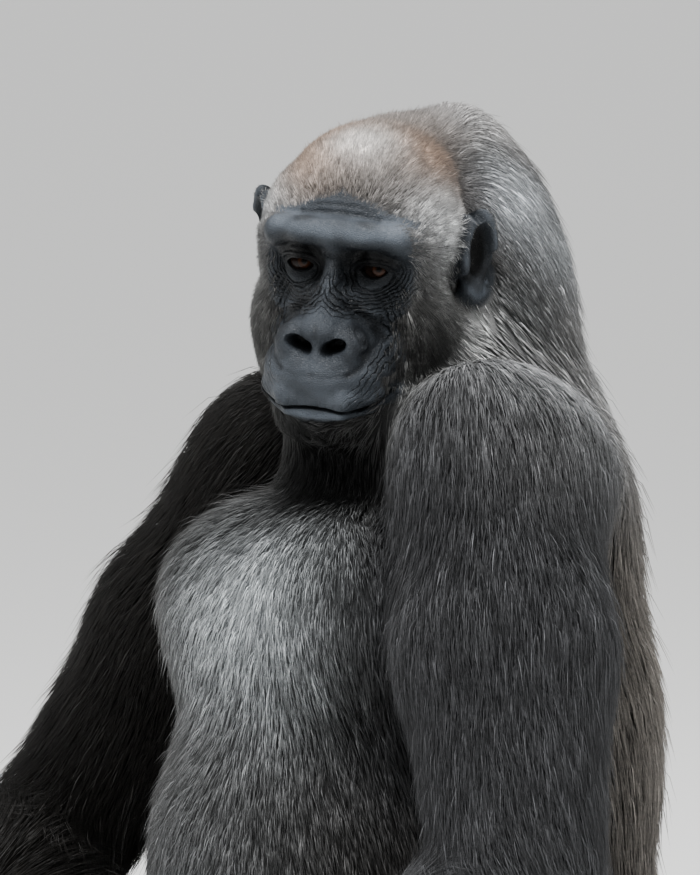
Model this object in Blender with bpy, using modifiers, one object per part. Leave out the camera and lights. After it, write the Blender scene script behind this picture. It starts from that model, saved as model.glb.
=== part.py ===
"""A western lowland gorilla, an adult female at life size, sitting on the floor as a still museum model.

The body is one smooth form: overlapping lumps of flesh, each a ball or a tapered limb with a real size,
merged and pressed to a blended surface. Thin cutters then part it into head, neck, trunk and limbs.
Metres, +Z up, chest facing -Y, the animal's left towards +X, the floor at Z = 0.
"""

import math

import bmesh
import bpy
import numpy as np
from mathutils import Euler, Matrix, Vector

# Driving sizes of the body. The left shoulder is drawn up, the right one hangs.
SHOULDER = {1: Vector((0.138, -0.048, 0.568)), -1: Vector((-0.138, -0.058, 0.548))}
UPPER_ARM = 0.350
FOREARM = 0.285
HIP = Vector((0.090, 0.030, 0.125))
KNEE = Vector((0.284, -0.150, 0.090))
ANKLE = Vector((0.100, -0.262, 0.054))

# The head's frame lies between the ear canals. It is turned to the left shoulder, nodded down and tilted.
HEAD_AT = Vector((0.0, -0.072, 0.724))
HEAD_TURN = math.radians(41.0)
HEAD_NOD = math.radians(11.0)
HEAD_TILT = math.radians(5.0)

# How finely the form is made and parted.
VOXEL = 0.0045
CUT = 0.0006
MM = 0.001


# ---------------------------------------------------------------- lumps of flesh
class Lump:
    """A ball with three radii, or a tapered limb between two points, and how softly it joins the rest."""

    def __init__(self, a, b, radii, end_radius, turn, blend, hollow):
        self.a, self.b = Vector(a), Vector(b)
        self.radii, self.end_radius = Vector(radii), end_radius
        self.turn, self.blend, self.hollow = turn, blend, hollow

    def moved(self, place):
        """The same lump carried by a rigid or mirroring matrix."""
        turn = place.to_3x3() @ self.turn
        if turn.determinant() < 0:
            turn = turn @ Matrix.Diagonal((-1, 1, 1))
        a, b = place @ self.a, place @ self.b
        return Lump(a, b, self.radii, self.end_radius, turn, self.blend, self.hollow)

    def distance(self, points):
        """Signed distance from each point to the lump's surface, near enough for pressing a mesh to it."""
        if self.end_radius is None:
            local = (points - np.array(self.a)) @ np.array(self.turn)
            scaled = np.linalg.norm(local / np.array(self.radii), axis=1)
            slope = np.linalg.norm(local / np.array(self.radii) ** 2, axis=1)
            return scaled * (scaled - 1) / np.maximum(slope, 1e-9)
        a, axis = np.array(self.a), np.array(self.b - self.a)
        along = np.clip((points - a) @ axis / (axis @ axis), 0, 1)
        radius = self.radii.x + (self.end_radius - self.radii.x) * along
        return np.linalg.norm(points - a - along[:, None] * axis, axis=1) - radius

    def merged(self, value, points):
        """The form's distance with this lump joined to it, or hollowed out of it."""
        other = self.distance(points)
        if self.hollow:
            share = np.clip(0.5 - 0.5 * (value + other) / self.blend, 0, 1)
            return value + (-other - value) * share + self.blend * share * (1 - share)
        share = np.clip(0.5 + 0.5 * (value - other) / self.blend, 0, 1)
        return value + (other - value) * share - self.blend * share * (1 - share)

    def reach(self):
        """(centre, radius) of a sphere round the lump and its blend."""
        half = (self.b - self.a).length / 2
        return (self.a + self.b) / 2, half + max(*self.radii, self.end_radius or 0) + self.blend


class Fold:
    """A crease of the face, or a ridge where its depth is negative, through (x, z) points of its frame."""

    def __init__(self, path, width, depth, place=None):
        self.path, self.width, self.depth, self.place = path, width, depth, place

    def moved(self, place):
        return Fold(self.path, self.width, self.depth, place)

    def merged(self, value, points):
        local = (points - np.array(self.place.translation)) @ np.array(self.place.to_3x3())
        flat = local[:, [0, 2]]
        gap = np.full(len(points), np.inf)
        for a, b in zip(self.path, self.path[1:]):
            a, axis = np.array(a), np.array(b) - np.array(a)
            along = np.clip((flat - a) @ axis / (axis @ axis), 0, 1)
            gap = np.minimum(gap, np.linalg.norm(flat - a - along[:, None] * axis, axis=1))
        front = np.clip((-0.055 - local[:, 1]) / 0.02, 0, 1)
        return value + self.depth * np.exp(-((gap / self.width) ** 2)) * front

    def reach(self):
        return self.place @ Vector((0, -0.10, -0.03)), 0.13


def ball(centre, radii, turn=(0, 0, 0), blend=0.03, hollow=False):
    """An egg of flesh. turn is in degrees about X, Y and Z."""
    rotation = Euler([math.radians(t) for t in turn]).to_matrix()
    return Lump(centre, centre, radii, None, rotation, blend, hollow)


def limb(a, b, start, end, blend=0.02):
    return Lump(a, b, (start, start, start), end, Matrix.Identity(3), blend, False)


def chain(points, radii, blend):
    """Limbs end to end through points, one radius for each point."""
    ends = zip(points, points[1:], radii, radii[1:])
    return [limb(a, b, start, end, blend) for a, b, start, end in ends]


def moved(lumps, place):
    return [lump.moved(place) for lump in lumps]


def both(lumps):
    """The lumps of one side and their mirror images."""
    return lumps + moved(lumps, Matrix.Diagonal((-1, 1, 1, 1)))


# ---------------------------------------------------------------- trunk and neck
def trunk_lumps():
    """Rump, round belly, rib cage, hunched back and breast."""
    middle = [
        ball((0, 0.050, 0.140), (0.165, 0.130, 0.150), blend=0.05),
        ball((0, -0.075, 0.258), (0.175, 0.168, 0.175), blend=0.05),
        ball((0, 0.040, 0.340), (0.165, 0.118, 0.200), blend=0.05),
        ball((0, -0.045, 0.420), (0.165, 0.170, 0.150), blend=0.05),
        ball((0, 0.038, 0.520), (0.150, 0.098, 0.110), blend=0.05),
    ]
    sides = [
        ball((0.085, 0.060, 0.082), (0.092, 0.100, 0.092), blend=0.04),
        ball((0.068, -0.145, 0.450), (0.085, 0.058, 0.075), blend=0.04),
    ]
    shoulder_blades = [
        ball((0.090, 0.000, 0.552), (0.085, 0.075, 0.060), blend=0.04),
        ball((-0.090, 0.000, 0.525), (0.085, 0.075, 0.060), blend=0.04),
    ]
    return middle + both(sides) + shoulder_blades


def neck_lumps():
    """The thick nape that runs from the crown down into the back, and the throat."""
    nape = [(-0.028, 0.019, 0.784), (-0.020, 0.033, 0.735), (-0.012, 0.036, 0.680), (0, 0.024, 0.605)]
    throat = [(0.010, -0.075, 0.650), (0, -0.055, 0.560)]
    side = [(-0.060, 0.030, 0.758), (-0.062, 0.040, 0.715), (-0.046, 0.040, 0.660), (-0.030, 0.030, 0.600)]
    thickness = [0.045, 0.052, 0.062, 0.092]
    front = chain(throat, [0.064, 0.085], 0.024)
    return chain(nape, thickness, 0.024) + chain(side, thickness, 0.03) + front


# ---------------------------------------------------------------- arms and hands
ARM_REACH = {
    1: (Vector((0.170, -0.085, -0.290)), Vector((-0.090, -0.206, -0.172))),
    -1: (Vector((-0.162, -0.102, -0.285)), Vector((0.085, -0.206, -0.155))),
}
ARM_RADII = {1: (0.078, 0.082, 0.066), -1: (0.076, 0.075, 0.063)}


def arm_joints(side):
    """Shoulder, elbow and wrist: the elbow stands out over the knee, the forearm leads in and forward."""
    upper, lower = ARM_REACH[side]
    elbow = SHOULDER[side] + upper.normalized() * UPPER_ARM
    return SHOULDER[side], elbow, elbow + lower.normalized() * FOREARM


def arm_lumps(side):
    shoulder, elbow, wrist = arm_joints(side)
    bulge = elbow.lerp(wrist, 0.25)
    upper = [shoulder, shoulder.lerp(elbow, 0.45), elbow]
    return [
        ball(shoulder + Vector((0.006 * side, 0.008, -0.012)), (0.082, 0.082, 0.084), blend=0.04),
        *chain(upper, ARM_RADII[side], blend=0.03),
        *chain([elbow, bulge, wrist], [0.062, 0.059, 0.041], blend=0.018),
    ]


FINGER_SPREAD = 0.0225
FINGER_LENGTHS = (0.088, 0.104, 0.100, 0.084)


def finger(base, heading, lengths, radius, curl):
    """Phalanges end to end from base, each bent down by curl degrees from the one before."""
    points, bend = [Vector(base)], 0.0
    for length in lengths:
        bend += math.radians(curl)
        step = Vector((math.sin(heading), -math.cos(heading) * math.cos(bend), -math.sin(bend)))
        points.append(points[-1] + step * length)
    radii = [radius * (1 - 0.07 * n) for n in range(len(points))]
    return chain(points, radii, blend=0.004)


def hand_lumps():
    """A left hand, palm down, fingers towards -Y, the short thumb on its inner side, the wrist at 0."""
    lumps = [
        limb((0, 0.010, 0), (0, -0.030, 0), 0.033, 0.030, blend=0.02),
        ball((0.001, -0.060, -0.001), (0.048, 0.052, 0.023), blend=0.02),
        ball((-0.022, -0.035, -0.006), (0.022, 0.034, 0.018), blend=0.015),
    ]
    for n, length in enumerate(FINGER_LENGTHS):
        across = (n - 1.5) * FINGER_SPREAD
        base = (across, -0.092 - 0.004 * (n in (1, 2)), 0.002)
        parts = (length * 0.46, length * 0.32, length * 0.22)
        lumps += finger(base, across * 1.6, parts, 0.0120, curl=8)
    lumps += finger((-0.036, -0.040, -0.004), -0.75, (0.032, 0.026), 0.0120, curl=8)
    return lumps


def hand_place(side):
    """The hand slopes from the wrist to its fingertips on the floor."""
    turn = Euler((math.radians(24), 0, math.radians(-12))).to_matrix().to_4x4()
    if side < 0:
        mirror = Matrix.Diagonal((-1, 1, 1, 1))
        turn = mirror @ turn
    return Matrix.Translation(arm_joints(side)[2]) @ turn


# ---------------------------------------------------------------- legs and feet
def leg_lumps():
    """The left leg, folded: thigh out over the floor, shank back in to the middle."""
    calf = KNEE.lerp(ANKLE, 0.35) + Vector((0, 0.012, 0.004))
    return [
        *chain([HIP, HIP.lerp(KNEE, 0.5), KNEE], [0.103, 0.088, 0.063], blend=0.04),
        *chain([KNEE, calf, ANKLE], [0.060, 0.055, 0.038], blend=0.02),
    ]


TOE_LENGTHS = (0.046, 0.048, 0.045, 0.040)


def foot_lumps():
    """A left foot, sole down, toes towards -Y, the great toe off its inner side, the ankle at 0."""
    lumps = [
        limb((0, 0.005, 0.010), (0, 0.012, -0.020), 0.036, 0.032, blend=0.02),
        ball((0, 0.034, -0.024), (0.031, 0.034, 0.030), blend=0.02),
        ball((0.004, -0.035, -0.026), (0.038, 0.075, 0.027), blend=0.02),
        ball((0.010, -0.092, -0.034), (0.042, 0.034, 0.019), blend=0.015),
    ]
    for n, length in enumerate(TOE_LENGTHS):
        across = -0.018 + n * 0.0205
        base = (across, -0.116 + 0.004 * n, -0.036)
        lumps += finger(base, (n - 1) * 0.07, (length * 0.55, length * 0.45), 0.0108, curl=9)
    lumps += finger((-0.024, -0.050, -0.036), -0.62, (0.034, 0.028, 0.020), 0.0142, curl=5)
    return lumps


def foot_place():
    """The foot lies on its outer edge, the sole turned in to face the other one."""
    turn = Euler((math.radians(-4), math.radians(52), math.radians(2))).to_matrix().to_4x4()
    return Matrix.Translation(ANKLE) @ turn


# ---------------------------------------------------------------- head, its own frame in millimetres
EYE = (30.0, -71.0, 9.5)
EYE_RADIUS = 12.0
EAR_AT = (81.5, 6.0, 4.0)


def head_place():
    turn = Matrix.Rotation(HEAD_TURN, 3, "Z") @ Matrix.Rotation(HEAD_NOD, 3, "X")
    turn = turn @ Matrix.Rotation(HEAD_TILT, 3, "Y")
    return Matrix.Translation(HEAD_AT) @ turn.to_4x4()


def egg(centre, radii, turn=(0, 0, 0), blend=14.0, hollow=False):
    """A ball of the head, in millimetres."""
    return ball(Vector(centre) * MM, Vector(radii) * MM, turn, blend * MM, hollow)


def bar(points, radii, blend=10.0):
    """A run of limbs of the head, in millimetres."""
    return chain([Vector(p) * MM for p in points], [r * MM for r in radii], blend * MM)


def fold(points, width, depth):
    """A crease or ridge of the face through (x, z) points, in millimetres, with its mirror image."""
    path = [(x * MM, z * MM) for x, z in points]
    mirror = [(-x, z) for x, z in path]
    return [Fold(each, width * MM, depth * MM) for each in (path, mirror)]


def skull_lumps():
    """Braincase with the crest pad on its back, forehead and the deep frame of the face."""
    return [
        egg((0, 4, 42), (65, 84, 54), blend=16),
        egg((2, 68, 46), (44, 42, 42), blend=18),
        egg((0, -44, 10), (54, 40, 42), blend=14),
        egg((0, -52, 34), (50, 36, 26), blend=12),
        egg((0, -34, -80), (54, 52, 36), blend=20),
        *both(
            [
                egg((54, -20, 22), (22, 46, 38), blend=16),
                egg((54, -38, -46), (25, 40, 44), blend=16),
                *bar([(28, -88, -106), (62, -14, -66)], [20, 23], blend=14),
            ]
        ),
    ]


def brow_lumps():
    """One heavy bar over both eyes, and the outer rims of the orbits."""
    return both(
        [
            *bar([(0, -91, 34), (24, -89, 36), (46, -77, 34), (57, -62, 22)], [9, 9.5, 10, 9.5], blend=9),
            *bar([(57, -62, 24), (57, -58, 2), (46, -66, -16)], [10, 11, 14], blend=12),
        ]
    )


def muzzle_lumps():
    """The face between the eyes and mouth, the long upper lip, lower lip and chin."""
    return [
        egg((0, -68, -30), (42, 44, 42), blend=14),
        egg((0, -99, -65), (49, 47, 32), blend=14),
        egg((0, -98, -99), (44, 46.5, 16), blend=4),
        *bar([(-38, -116, -88), (-20, -134, -88), (20, -134, -88), (38, -116, -88)], [7, 8, 8, 7], blend=3),
        egg((0, -86, -113), (36, 38, 19), blend=12),
    ]


def nose_lumps():
    """A low ridge from between the eyes, the tip and the two padded wings."""
    return [
        *bar([(0, -82, 22), (0, -96, -6), (0, -110, -24)], [10, 12, 16], blend=10),
        egg((0, -124, -37), (13, 13, 13), blend=6),
        *both([egg((18, -117, -40), (16, 19, 17), (0, 0, 18), blend=5)]),
    ]


def hollow_lumps():
    """Orbits and nostrils."""
    return both(
        [
            egg((30, -98, 9), (18, 20, 13), (0, 4, 0), blend=9, hollow=True),
            egg((14, -130, -35), (8.5, 20, 6.5), (0, 28, 0), blend=3, hollow=True),
        ]
    )


def lid_lumps():
    return both([egg(EYE, (EYE_RADIUS + 3,) * 3, blend=4)])


def face_folds():
    """The line between the lips, and the long folds from the nose wings to the mouth's corners."""
    return [
        *fold([(0, -88), (24, -89), (42, -89)], 2.5, 1.5),
        *fold([(8, 2), (22, -22), (36, -48)], 3.5, 1.6),
    ]


def head_lumps():
    return skull_lumps() + muzzle_lumps() + nose_lumps() + brow_lumps() + hollow_lumps() + lid_lumps()


def ear_lumps():
    """The left ear in the head's frame: a thin upright shell, rolled at its edge, hollow in front."""
    turn = (0, 8, -36)
    return [
        egg(EAR_AT, (7, 20, 36), turn, blend=4),
        egg((89, -1, 4), (8, 13, 26), turn, blend=3, hollow=True),
    ]


# ---------------------------------------------------------------- pressing the form
def nearby(lumps, points, margin=0.012):
    """(lump, indices of the points that it can reach) for each lump."""
    found = []
    for lump in lumps:
        centre, radius = lump.reach()
        gap = np.linalg.norm(points - np.array(centre), axis=1) - radius
        found.append((lump, np.nonzero(gap < margin)[0]))
    return found


def field(near, points):
    """Signed distance to the blended form, for points near its surface."""
    value = np.ones(len(points))
    for lump, at in near:
        value[at] = lump.merged(value[at], points[at])
    return value


def press(mesh, lumps, rounds=6, most=0.004, step=0.0004):
    """Moves each vertex along the form's slope until it lies on the form, easing the mesh between rounds."""
    points = np.empty(len(mesh.vertices) * 3)
    mesh.vertices.foreach_get("co", points)
    points = points.reshape(-1, 3)
    edges = np.empty(len(mesh.edges) * 2, int)
    mesh.edges.foreach_get("vertices", edges)
    edges = edges.reshape(-1, 2)
    count = np.bincount(edges.ravel(), minlength=len(points))[:, None]
    near = nearby(lumps, points)
    for turn in range(rounds):
        value = field(near, points)
        slope = np.stack([field(near, points + step * axis) - value for axis in np.eye(3)], 1) / step
        size = np.maximum((slope**2).sum(1), 0.05)
        points -= slope * np.clip(value / size, -most, most)[:, None]
        if turn < rounds - 2:
            total = np.zeros_like(points)
            for axis in range(3):
                total[:, axis] = np.bincount(edges[:, 0], points[edges[:, 1], axis], len(points))
                total[:, axis] += np.bincount(edges[:, 1], points[edges[:, 0], axis], len(points))
            points += 0.5 * (total / count - points)
    mesh.vertices.foreach_set("co", points.ravel())
    mesh.update()


def add_lump(shape, lump):
    """Adds the lump's own balls to a bmesh: one egg, or balls strung close along a limb."""
    if lump.end_radius is None:
        size = Matrix.Diagonal((*lump.radii, 1))
        place = Matrix.Translation(lump.a) @ lump.turn.to_4x4() @ size
        bmesh.ops.create_icosphere(shape, subdivisions=3, radius=1, matrix=place)
        return
    length = (lump.b - lump.a).length
    smallest = min(lump.radii.x, lump.end_radius)
    count = max(2, math.ceil(length / (smallest * 0.4)) + 1)
    for n in range(count):
        share = n / (count - 1)
        radius = lump.radii.x + (lump.end_radius - lump.radii.x) * share
        place = Matrix.Translation(lump.a.lerp(lump.b, share))
        bmesh.ops.create_icosphere(shape, subdivisions=2, radius=radius, matrix=place)


def apply_all(obj):
    """Bakes the object's modifiers into its mesh."""
    graph = bpy.context.evaluated_depsgraph_get()
    mesh = bpy.data.meshes.new_from_object(obj.evaluated_get(graph))
    obj.modifiers.clear()
    obj.data = mesh


def form(name, lumps, voxel, collection):
    """One smooth closed mesh of the lumps: merged by a voxel remesh, then pressed to the blended form."""
    shape = bmesh.new()
    for lump in lumps:
        if isinstance(lump, Lump) and not lump.hollow:
            add_lump(shape, lump)
    mesh = bpy.data.meshes.new(name)
    shape.to_mesh(mesh)
    shape.free()
    obj = bpy.data.objects.new(name, mesh)
    collection.objects.link(obj)
    remesh = obj.modifiers.new("merge", "REMESH")
    remesh.mode = "VOXEL"
    remesh.voxel_size = voxel
    apply_all(obj)
    press(obj.data, lumps)
    return obj


# ---------------------------------------------------------------- parting into pieces
FUR = (0.030, 0.028, 0.030)
BARE_SKIN = (0.040, 0.042, 0.050)
IRIS = (0.045, 0.014, 0.006)
BODY_TRIANGLES = 4250
EAR_TRIANGLES = 300
REGION_TRIANGLES = 260


def material(name, colour, roughness):
    made = bpy.data.materials.new(name)
    made.use_nodes = True
    shader = made.node_tree.nodes["Principled BSDF"]
    shader.inputs["Base Color"].default_value = (*colour, 1)
    shader.inputs["Roughness"].default_value = roughness
    shader.inputs["Metallic"].default_value = 0
    return made


def copy_of(obj, name):
    other = obj.copy()
    other.data = obj.data.copy()
    other.name = name
    obj.users_collection[0].objects.link(other)
    return other


def boolean(obj, cutter, operation):
    modifier = obj.modifiers.new("cut", "BOOLEAN")
    modifier.operation = operation
    modifier.object = cutter
    modifier.solver = "EXACT"
    apply_all(obj)


def added(name, collection):
    """The primitive that was just added, named and moved to its collection."""
    obj = bpy.context.object
    obj.name = name
    for other in obj.users_collection:
        other.objects.unlink(obj)
    collection.objects.link(obj)
    obj.hide_render = True
    obj.display_type = "WIRE"
    return obj


def egg_cutter(name, lump, grow, cutters):
    """A cutter in the shape of one ball of flesh, grown by some metres."""
    bpy.ops.mesh.primitive_uv_sphere_add(segments=16, ring_count=10, radius=1)
    cutter = added(name, cutters)
    size = Matrix.Diagonal([radius + grow for radius in lump.radii] + [1])
    cutter.data.transform(Matrix.Translation(lump.a) @ lump.turn.to_4x4() @ size)
    return cutter


def slab(name, centre, normal, size, cutters, upright=(0, 0, 1)):
    """A thin plate across a limb: size is its half-width across and along the upright direction."""
    normal = Vector(normal).normalized()
    up = (Vector(upright) - normal * normal.dot(Vector(upright))).normalized()
    turn = Matrix((up.cross(normal), up, normal)).transposed().to_4x4()
    bpy.ops.mesh.primitive_cube_add(size=2)
    plate = added(name, cutters)
    plate.data.transform(Matrix.Translation(centre) @ turn @ Matrix.Diagonal((*size, CUT / 2, 1)))
    return plate


def split_by(obj, inner, outer, name):
    """Gives the part of obj inside one cutter a name, and leaves obj what lies outside a larger one."""
    piece = copy_of(obj, name)
    boolean(piece, inner, "INTERSECT")
    boolean(obj, outer, "DIFFERENCE")
    return piece


def loose_parts(obj):
    """Each connected part of the mesh as its own object."""
    shape = bmesh.new()
    shape.from_mesh(obj.data)
    left = set(shape.verts)
    groups = []
    while left:
        group, front = set(), [left.pop()]
        while front:
            vert = front.pop()
            group.add(vert.index)
            for edge in vert.link_edges:
                other = edge.other_vert(vert)
                if other in left:
                    left.remove(other)
                    front.append(other)
        groups.append(group)
    shape.free()
    parts = []
    for group in groups:
        part = copy_of(obj, obj.name)
        shape = bmesh.new()
        shape.from_mesh(part.data)
        outside = [vert for vert in shape.verts if vert.index not in group]
        bmesh.ops.delete(shape, geom=outside, context="VERTS")
        shape.to_mesh(part.data)
        shape.free()
        parts.append(part)
    bpy.data.objects.remove(obj)
    return parts


def rest_on_floor(obj):
    """Cuts off what lies under the floor, which leaves small flats to rest on."""
    shape = bmesh.new()
    shape.from_mesh(obj.data)
    geometry = [*shape.verts, *shape.edges, *shape.faces]
    cut = bmesh.ops.bisect_plane(
        shape, geom=geometry, dist=1e-6, plane_co=(0, 0, 0), plane_no=(0, 0, 1), clear_inner=True
    )
    rim = [item for item in cut["geom_cut"] if isinstance(item, bmesh.types.BMEdge)]
    bmesh.ops.edgenet_fill(shape, edges=rim)
    bmesh.ops.triangulate(shape, faces=[face for face in shape.faces if len(face.verts) > 3])
    shape.to_mesh(obj.data)
    shape.free()


def thin_out(obj, triangles, fine_spots=()):
    """Decimates to a number of triangles, keeping more of them within reach of the fine spots."""
    obj.data.calc_loop_triangles()
    modifier = obj.modifiers.new("thin", "DECIMATE")
    modifier.ratio = triangles / len(obj.data.loop_triangles)
    if fine_spots:
        points = np.empty(len(obj.data.vertices) * 3)
        obj.data.vertices.foreach_get("co", points)
        points = points.reshape(-1, 3)
        group = obj.vertex_groups.new(name="coarse")
        group.add(range(len(points)), 1.0, "REPLACE")
        for centre, reach, weight in fine_spots:
            near = np.linalg.norm(points - np.array(centre), axis=1) < reach
            group.add(np.nonzero(near)[0].tolist(), weight, "REPLACE")
        modifier.vertex_group = "coarse"
        modifier.vertex_group_factor = 0.02
    apply_all(obj)
    obj.vertex_groups.clear()


def body_lumps():
    """All of the body's lumps in their places, both sides."""
    lumps = trunk_lumps() + both(leg_lumps() + moved(foot_lumps(), foot_place())) + neck_lumps()
    for side in (1, -1):
        lumps += arm_lumps(side) + moved(hand_lumps(), hand_place(side))
    return lumps + moved(head_lumps() + face_folds(), head_place())


def mirrored(vector, side):
    return Vector((vector.x * side, vector.y, vector.z))


def largest_parts(obj, count):
    """The largest connected parts, without the crumbs left where three pieces meet."""
    pieces = sorted(loose_parts(obj), key=lambda piece: -len(piece.data.vertices))
    for crumb in pieces[count:]:
        bpy.data.objects.remove(crumb)
    return pieces[:count]


def cut_across(obj, plate, seed, name):
    """Cuts obj at a plate, names the piece nearest to the seed, and returns it and the other one."""
    boolean(obj, plate, "DIFFERENCE")

    def gap(piece):
        return min((vert.co - Vector(seed)).length for vert in piece.data.vertices)

    near, far = sorted(largest_parts(obj, 2), key=gap)
    near.name = name
    return near, far


def part_arm(rest, side, word, cutters):
    """Cuts one arm off the trunk, and that at its elbow and wrist."""
    shoulder, elbow, wrist = arm_joints(side)
    upper, lower = elbow - shoulder, wrist - elbow
    bend = upper.normalized() + lower.normalized()
    fore_aft = (0, 1, 0)
    armpit = slab("shoulder", (0.145 * side, -0.045, 0.470), (0.962 * side, 0, 0.27), (0.170, 0.215), cutters)
    joint = slab("elbow", elbow, bend, (0.100, 0.100), cutters, fore_aft)
    carpus = slab("wrist", wrist, lower, (0.065, 0.065), cutters, fore_aft)
    arm, rest = cut_across(rest, armpit, shoulder.lerp(elbow, 0.6), f"upper_arm_{word}")
    far, arm = cut_across(arm, joint, wrist, f"forearm_{word}")
    arm.name = f"upper_arm_{word}"
    palm = hand_place(side) @ Vector((0, -0.060, 0))
    far = cut_across(far, carpus, palm, f"hand_{word}")[1]
    far.name = f"forearm_{word}"
    return rest


def part_leg(rest, side, word, cutters):
    """Cuts one leg off the trunk, and that at its knee and ankle."""
    hip, knee, ankle = (mirrored(joint, side) for joint in (HIP, KNEE, ANKLE))
    thigh, shank = knee - hip, ankle - knee
    bend = thigh.normalized() + 0.55 * shank.normalized()
    groin = slab("hip", (0.145 * side, -0.030, 0.120), (0.80 * side, -0.40, -0.45), (0.205, 0.190), cutters)
    joint = slab("knee", knee, bend, (0.175, 0.120), cutters)
    tarsus = slab("ankle", ankle + shank * 0.04, shank, (0.078, 0.070), cutters)
    leg, rest = cut_across(rest, groin, hip.lerp(knee, 0.65), f"thigh_{word}")
    far, leg = cut_across(leg, joint, knee.lerp(ankle, 0.5), f"shank_{word}")
    leg.name = f"thigh_{word}"
    toes = mirrored(foot_place() @ Vector((0, -0.090, -0.03)), side)
    far = cut_across(far, tarsus, toes, f"foot_{word}")[1]
    far.name = f"shank_{word}"
    return rest


def head_regions(cutters):
    """Two nested cutters round the skull and the jaw that part the head from the neck."""
    lumps = [
        egg((0, -5, 30), (90, 118, 85), blend=15),
        egg((0, -70, -58), (98, 100, 82), blend=15),
        egg((0, -18, -52), (92, 64, 48), blend=15),
    ]
    inner = form("head_region", moved(lumps, head_place()), 0.008, cutters)
    thin_out(inner, REGION_TRIANGLES)
    outer = copy_of(inner, "head_region_grown")
    grow = outer.modifiers.new("grow", "DISPLACE")
    grow.strength = CUT
    grow.mid_level = 0
    apply_all(outer)
    for region in (inner, outer):
        region.hide_render = True
        region.display_type = "WIRE"
    return inner, outer


def add_eyes(head, cutters, parts):
    """Cuts the lids open on round sockets and sets a ball in each."""
    for x, word in ((1, "left"), (-1, "right")):
        at = head_place() @ (Vector((EYE[0] * x, EYE[1], EYE[2])) * MM)
        turn = head_place().to_3x3()
        socket = ball(at, (EYE_RADIUS * MM,) * 3)
        slit_at = head_place() @ (Vector((EYE[0] * x, EYE[1] - EYE_RADIUS, EYE[2])) * MM)
        slit = Lump(slit_at, slit_at, Vector((0.0105, 0.0080, 0.0045)), None, turn, 0, True)
        for cutter in (egg_cutter("socket", socket, CUT, cutters), egg_cutter("slit", slit, 0, cutters)):
            boolean(head, cutter, "DIFFERENCE")
        bpy.ops.mesh.primitive_uv_sphere_add(segments=16, ring_count=9, radius=EYE_RADIUS * MM)
        eye = added(f"eye_{word}", parts)
        eye.hide_render = False
        eye.display_type = "TEXTURED"
        eye.data.transform(Matrix.Translation(at) @ turn.to_4x4())


def add_ears(head, cutters, parts):
    """Forms each ear by itself and takes the head, grown by the gap, out of its root."""
    grown = copy_of(head, "head_grown")
    grow = grown.modifiers.new("grow", "DISPLACE")
    grow.strength = CUT
    grow.mid_level = 0
    apply_all(grown)
    ears = {"left": ear_lumps(), "right": moved(ear_lumps(), Matrix.Diagonal((-1, 1, 1, 1)))}
    for word, lumps in ears.items():
        ear = form(f"ear_{word}", moved(lumps, head_place()), 0.0022, parts)
        thin_out(ear, EAR_TRIANGLES)
        boolean(ear, grown, "DIFFERENCE")
        largest_parts(ear, 1)[0].name = f"ear_{word}"
    bpy.data.objects.remove(grown)


def stand_at_origin(objects):
    """Sets the middle of the whole model's box over the origin."""
    points = np.array([vert.co for obj in objects for vert in obj.data.vertices])
    middle = (points.min(axis=0) + points.max(axis=0)) / 2
    for obj in objects:
        obj.data.transform(Matrix.Translation((-middle[0], -middle[1], 0)))


def finish(obj):
    """Its material by what it is, and smooth shading."""
    if obj.name.startswith("eye"):
        look = material(obj.name, IRIS, 0.08)
    elif obj.name.startswith(("hand", "foot", "ear")):
        look = material(obj.name, BARE_SKIN, 0.5)
    else:
        look = material(obj.name, FUR, 0.7)
    obj.data.materials.clear()
    obj.data.materials.append(look)
    obj.data.shade_smooth()
    obj.data.set_sharp_from_angle(angle=math.radians(50))


def gorilla():
    for obj in list(bpy.data.objects):
        bpy.data.objects.remove(obj)
    parts, cutters = bpy.data.collections.new("gorilla"), bpy.data.collections.new("cutters")
    for collection in (parts, cutters):
        bpy.context.scene.collection.children.link(collection)
    cutters.hide_render = True

    body = form("body", body_lumps(), VOXEL, parts)
    fine = [(HEAD_AT, 0.175, 0.5)]
    for side in (1, -1):
        fine.append((hand_place(side) @ Vector((0, -0.110, 0)), 0.100, 0.62))
        fine.append((mirrored(foot_place() @ Vector((0, -0.110, -0.03)), side), 0.080, 0.62))
    thin_out(body, BODY_TRIANGLES, fine)
    rest_on_floor(body)

    head = split_by(body, *head_regions(cutters), "head")
    nape = ball((-0.020, 0.010, 0.725), (0.135, 0.140, 0.160))
    inner, outer = egg_cutter("nape", nape, 0, cutters), egg_cutter("nape_grown", nape, CUT, cutters)
    neck = split_by(body, inner, outer, "neck")
    head, neck, body = (largest_parts(piece, 1)[0] for piece in (head, neck, body))
    for side, word in ((1, "left"), (-1, "right")):
        body = part_leg(part_arm(body, side, word, cutters), side, word, cutters)
    head.name, neck.name, body.name = "head", "neck", "trunk"
    add_eyes(head, cutters, parts)
    add_ears(head, cutters, parts)
    stand_at_origin(parts.objects)
    for obj in parts.objects:
        finish(obj)


if __name__ == "__main__":
    gorilla()
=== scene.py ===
"""A western lowland gorilla, an adult female at life size, sitting still on a pale studio floor.

Sections in order of making: the studio, the skin, the eyes, the nails, the coat, the sizes.
"""

import math

import bmesh
import bpy
import numpy as np
from mathutils import Euler, Matrix, Vector
from mathutils.kdtree import KDTree


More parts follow.
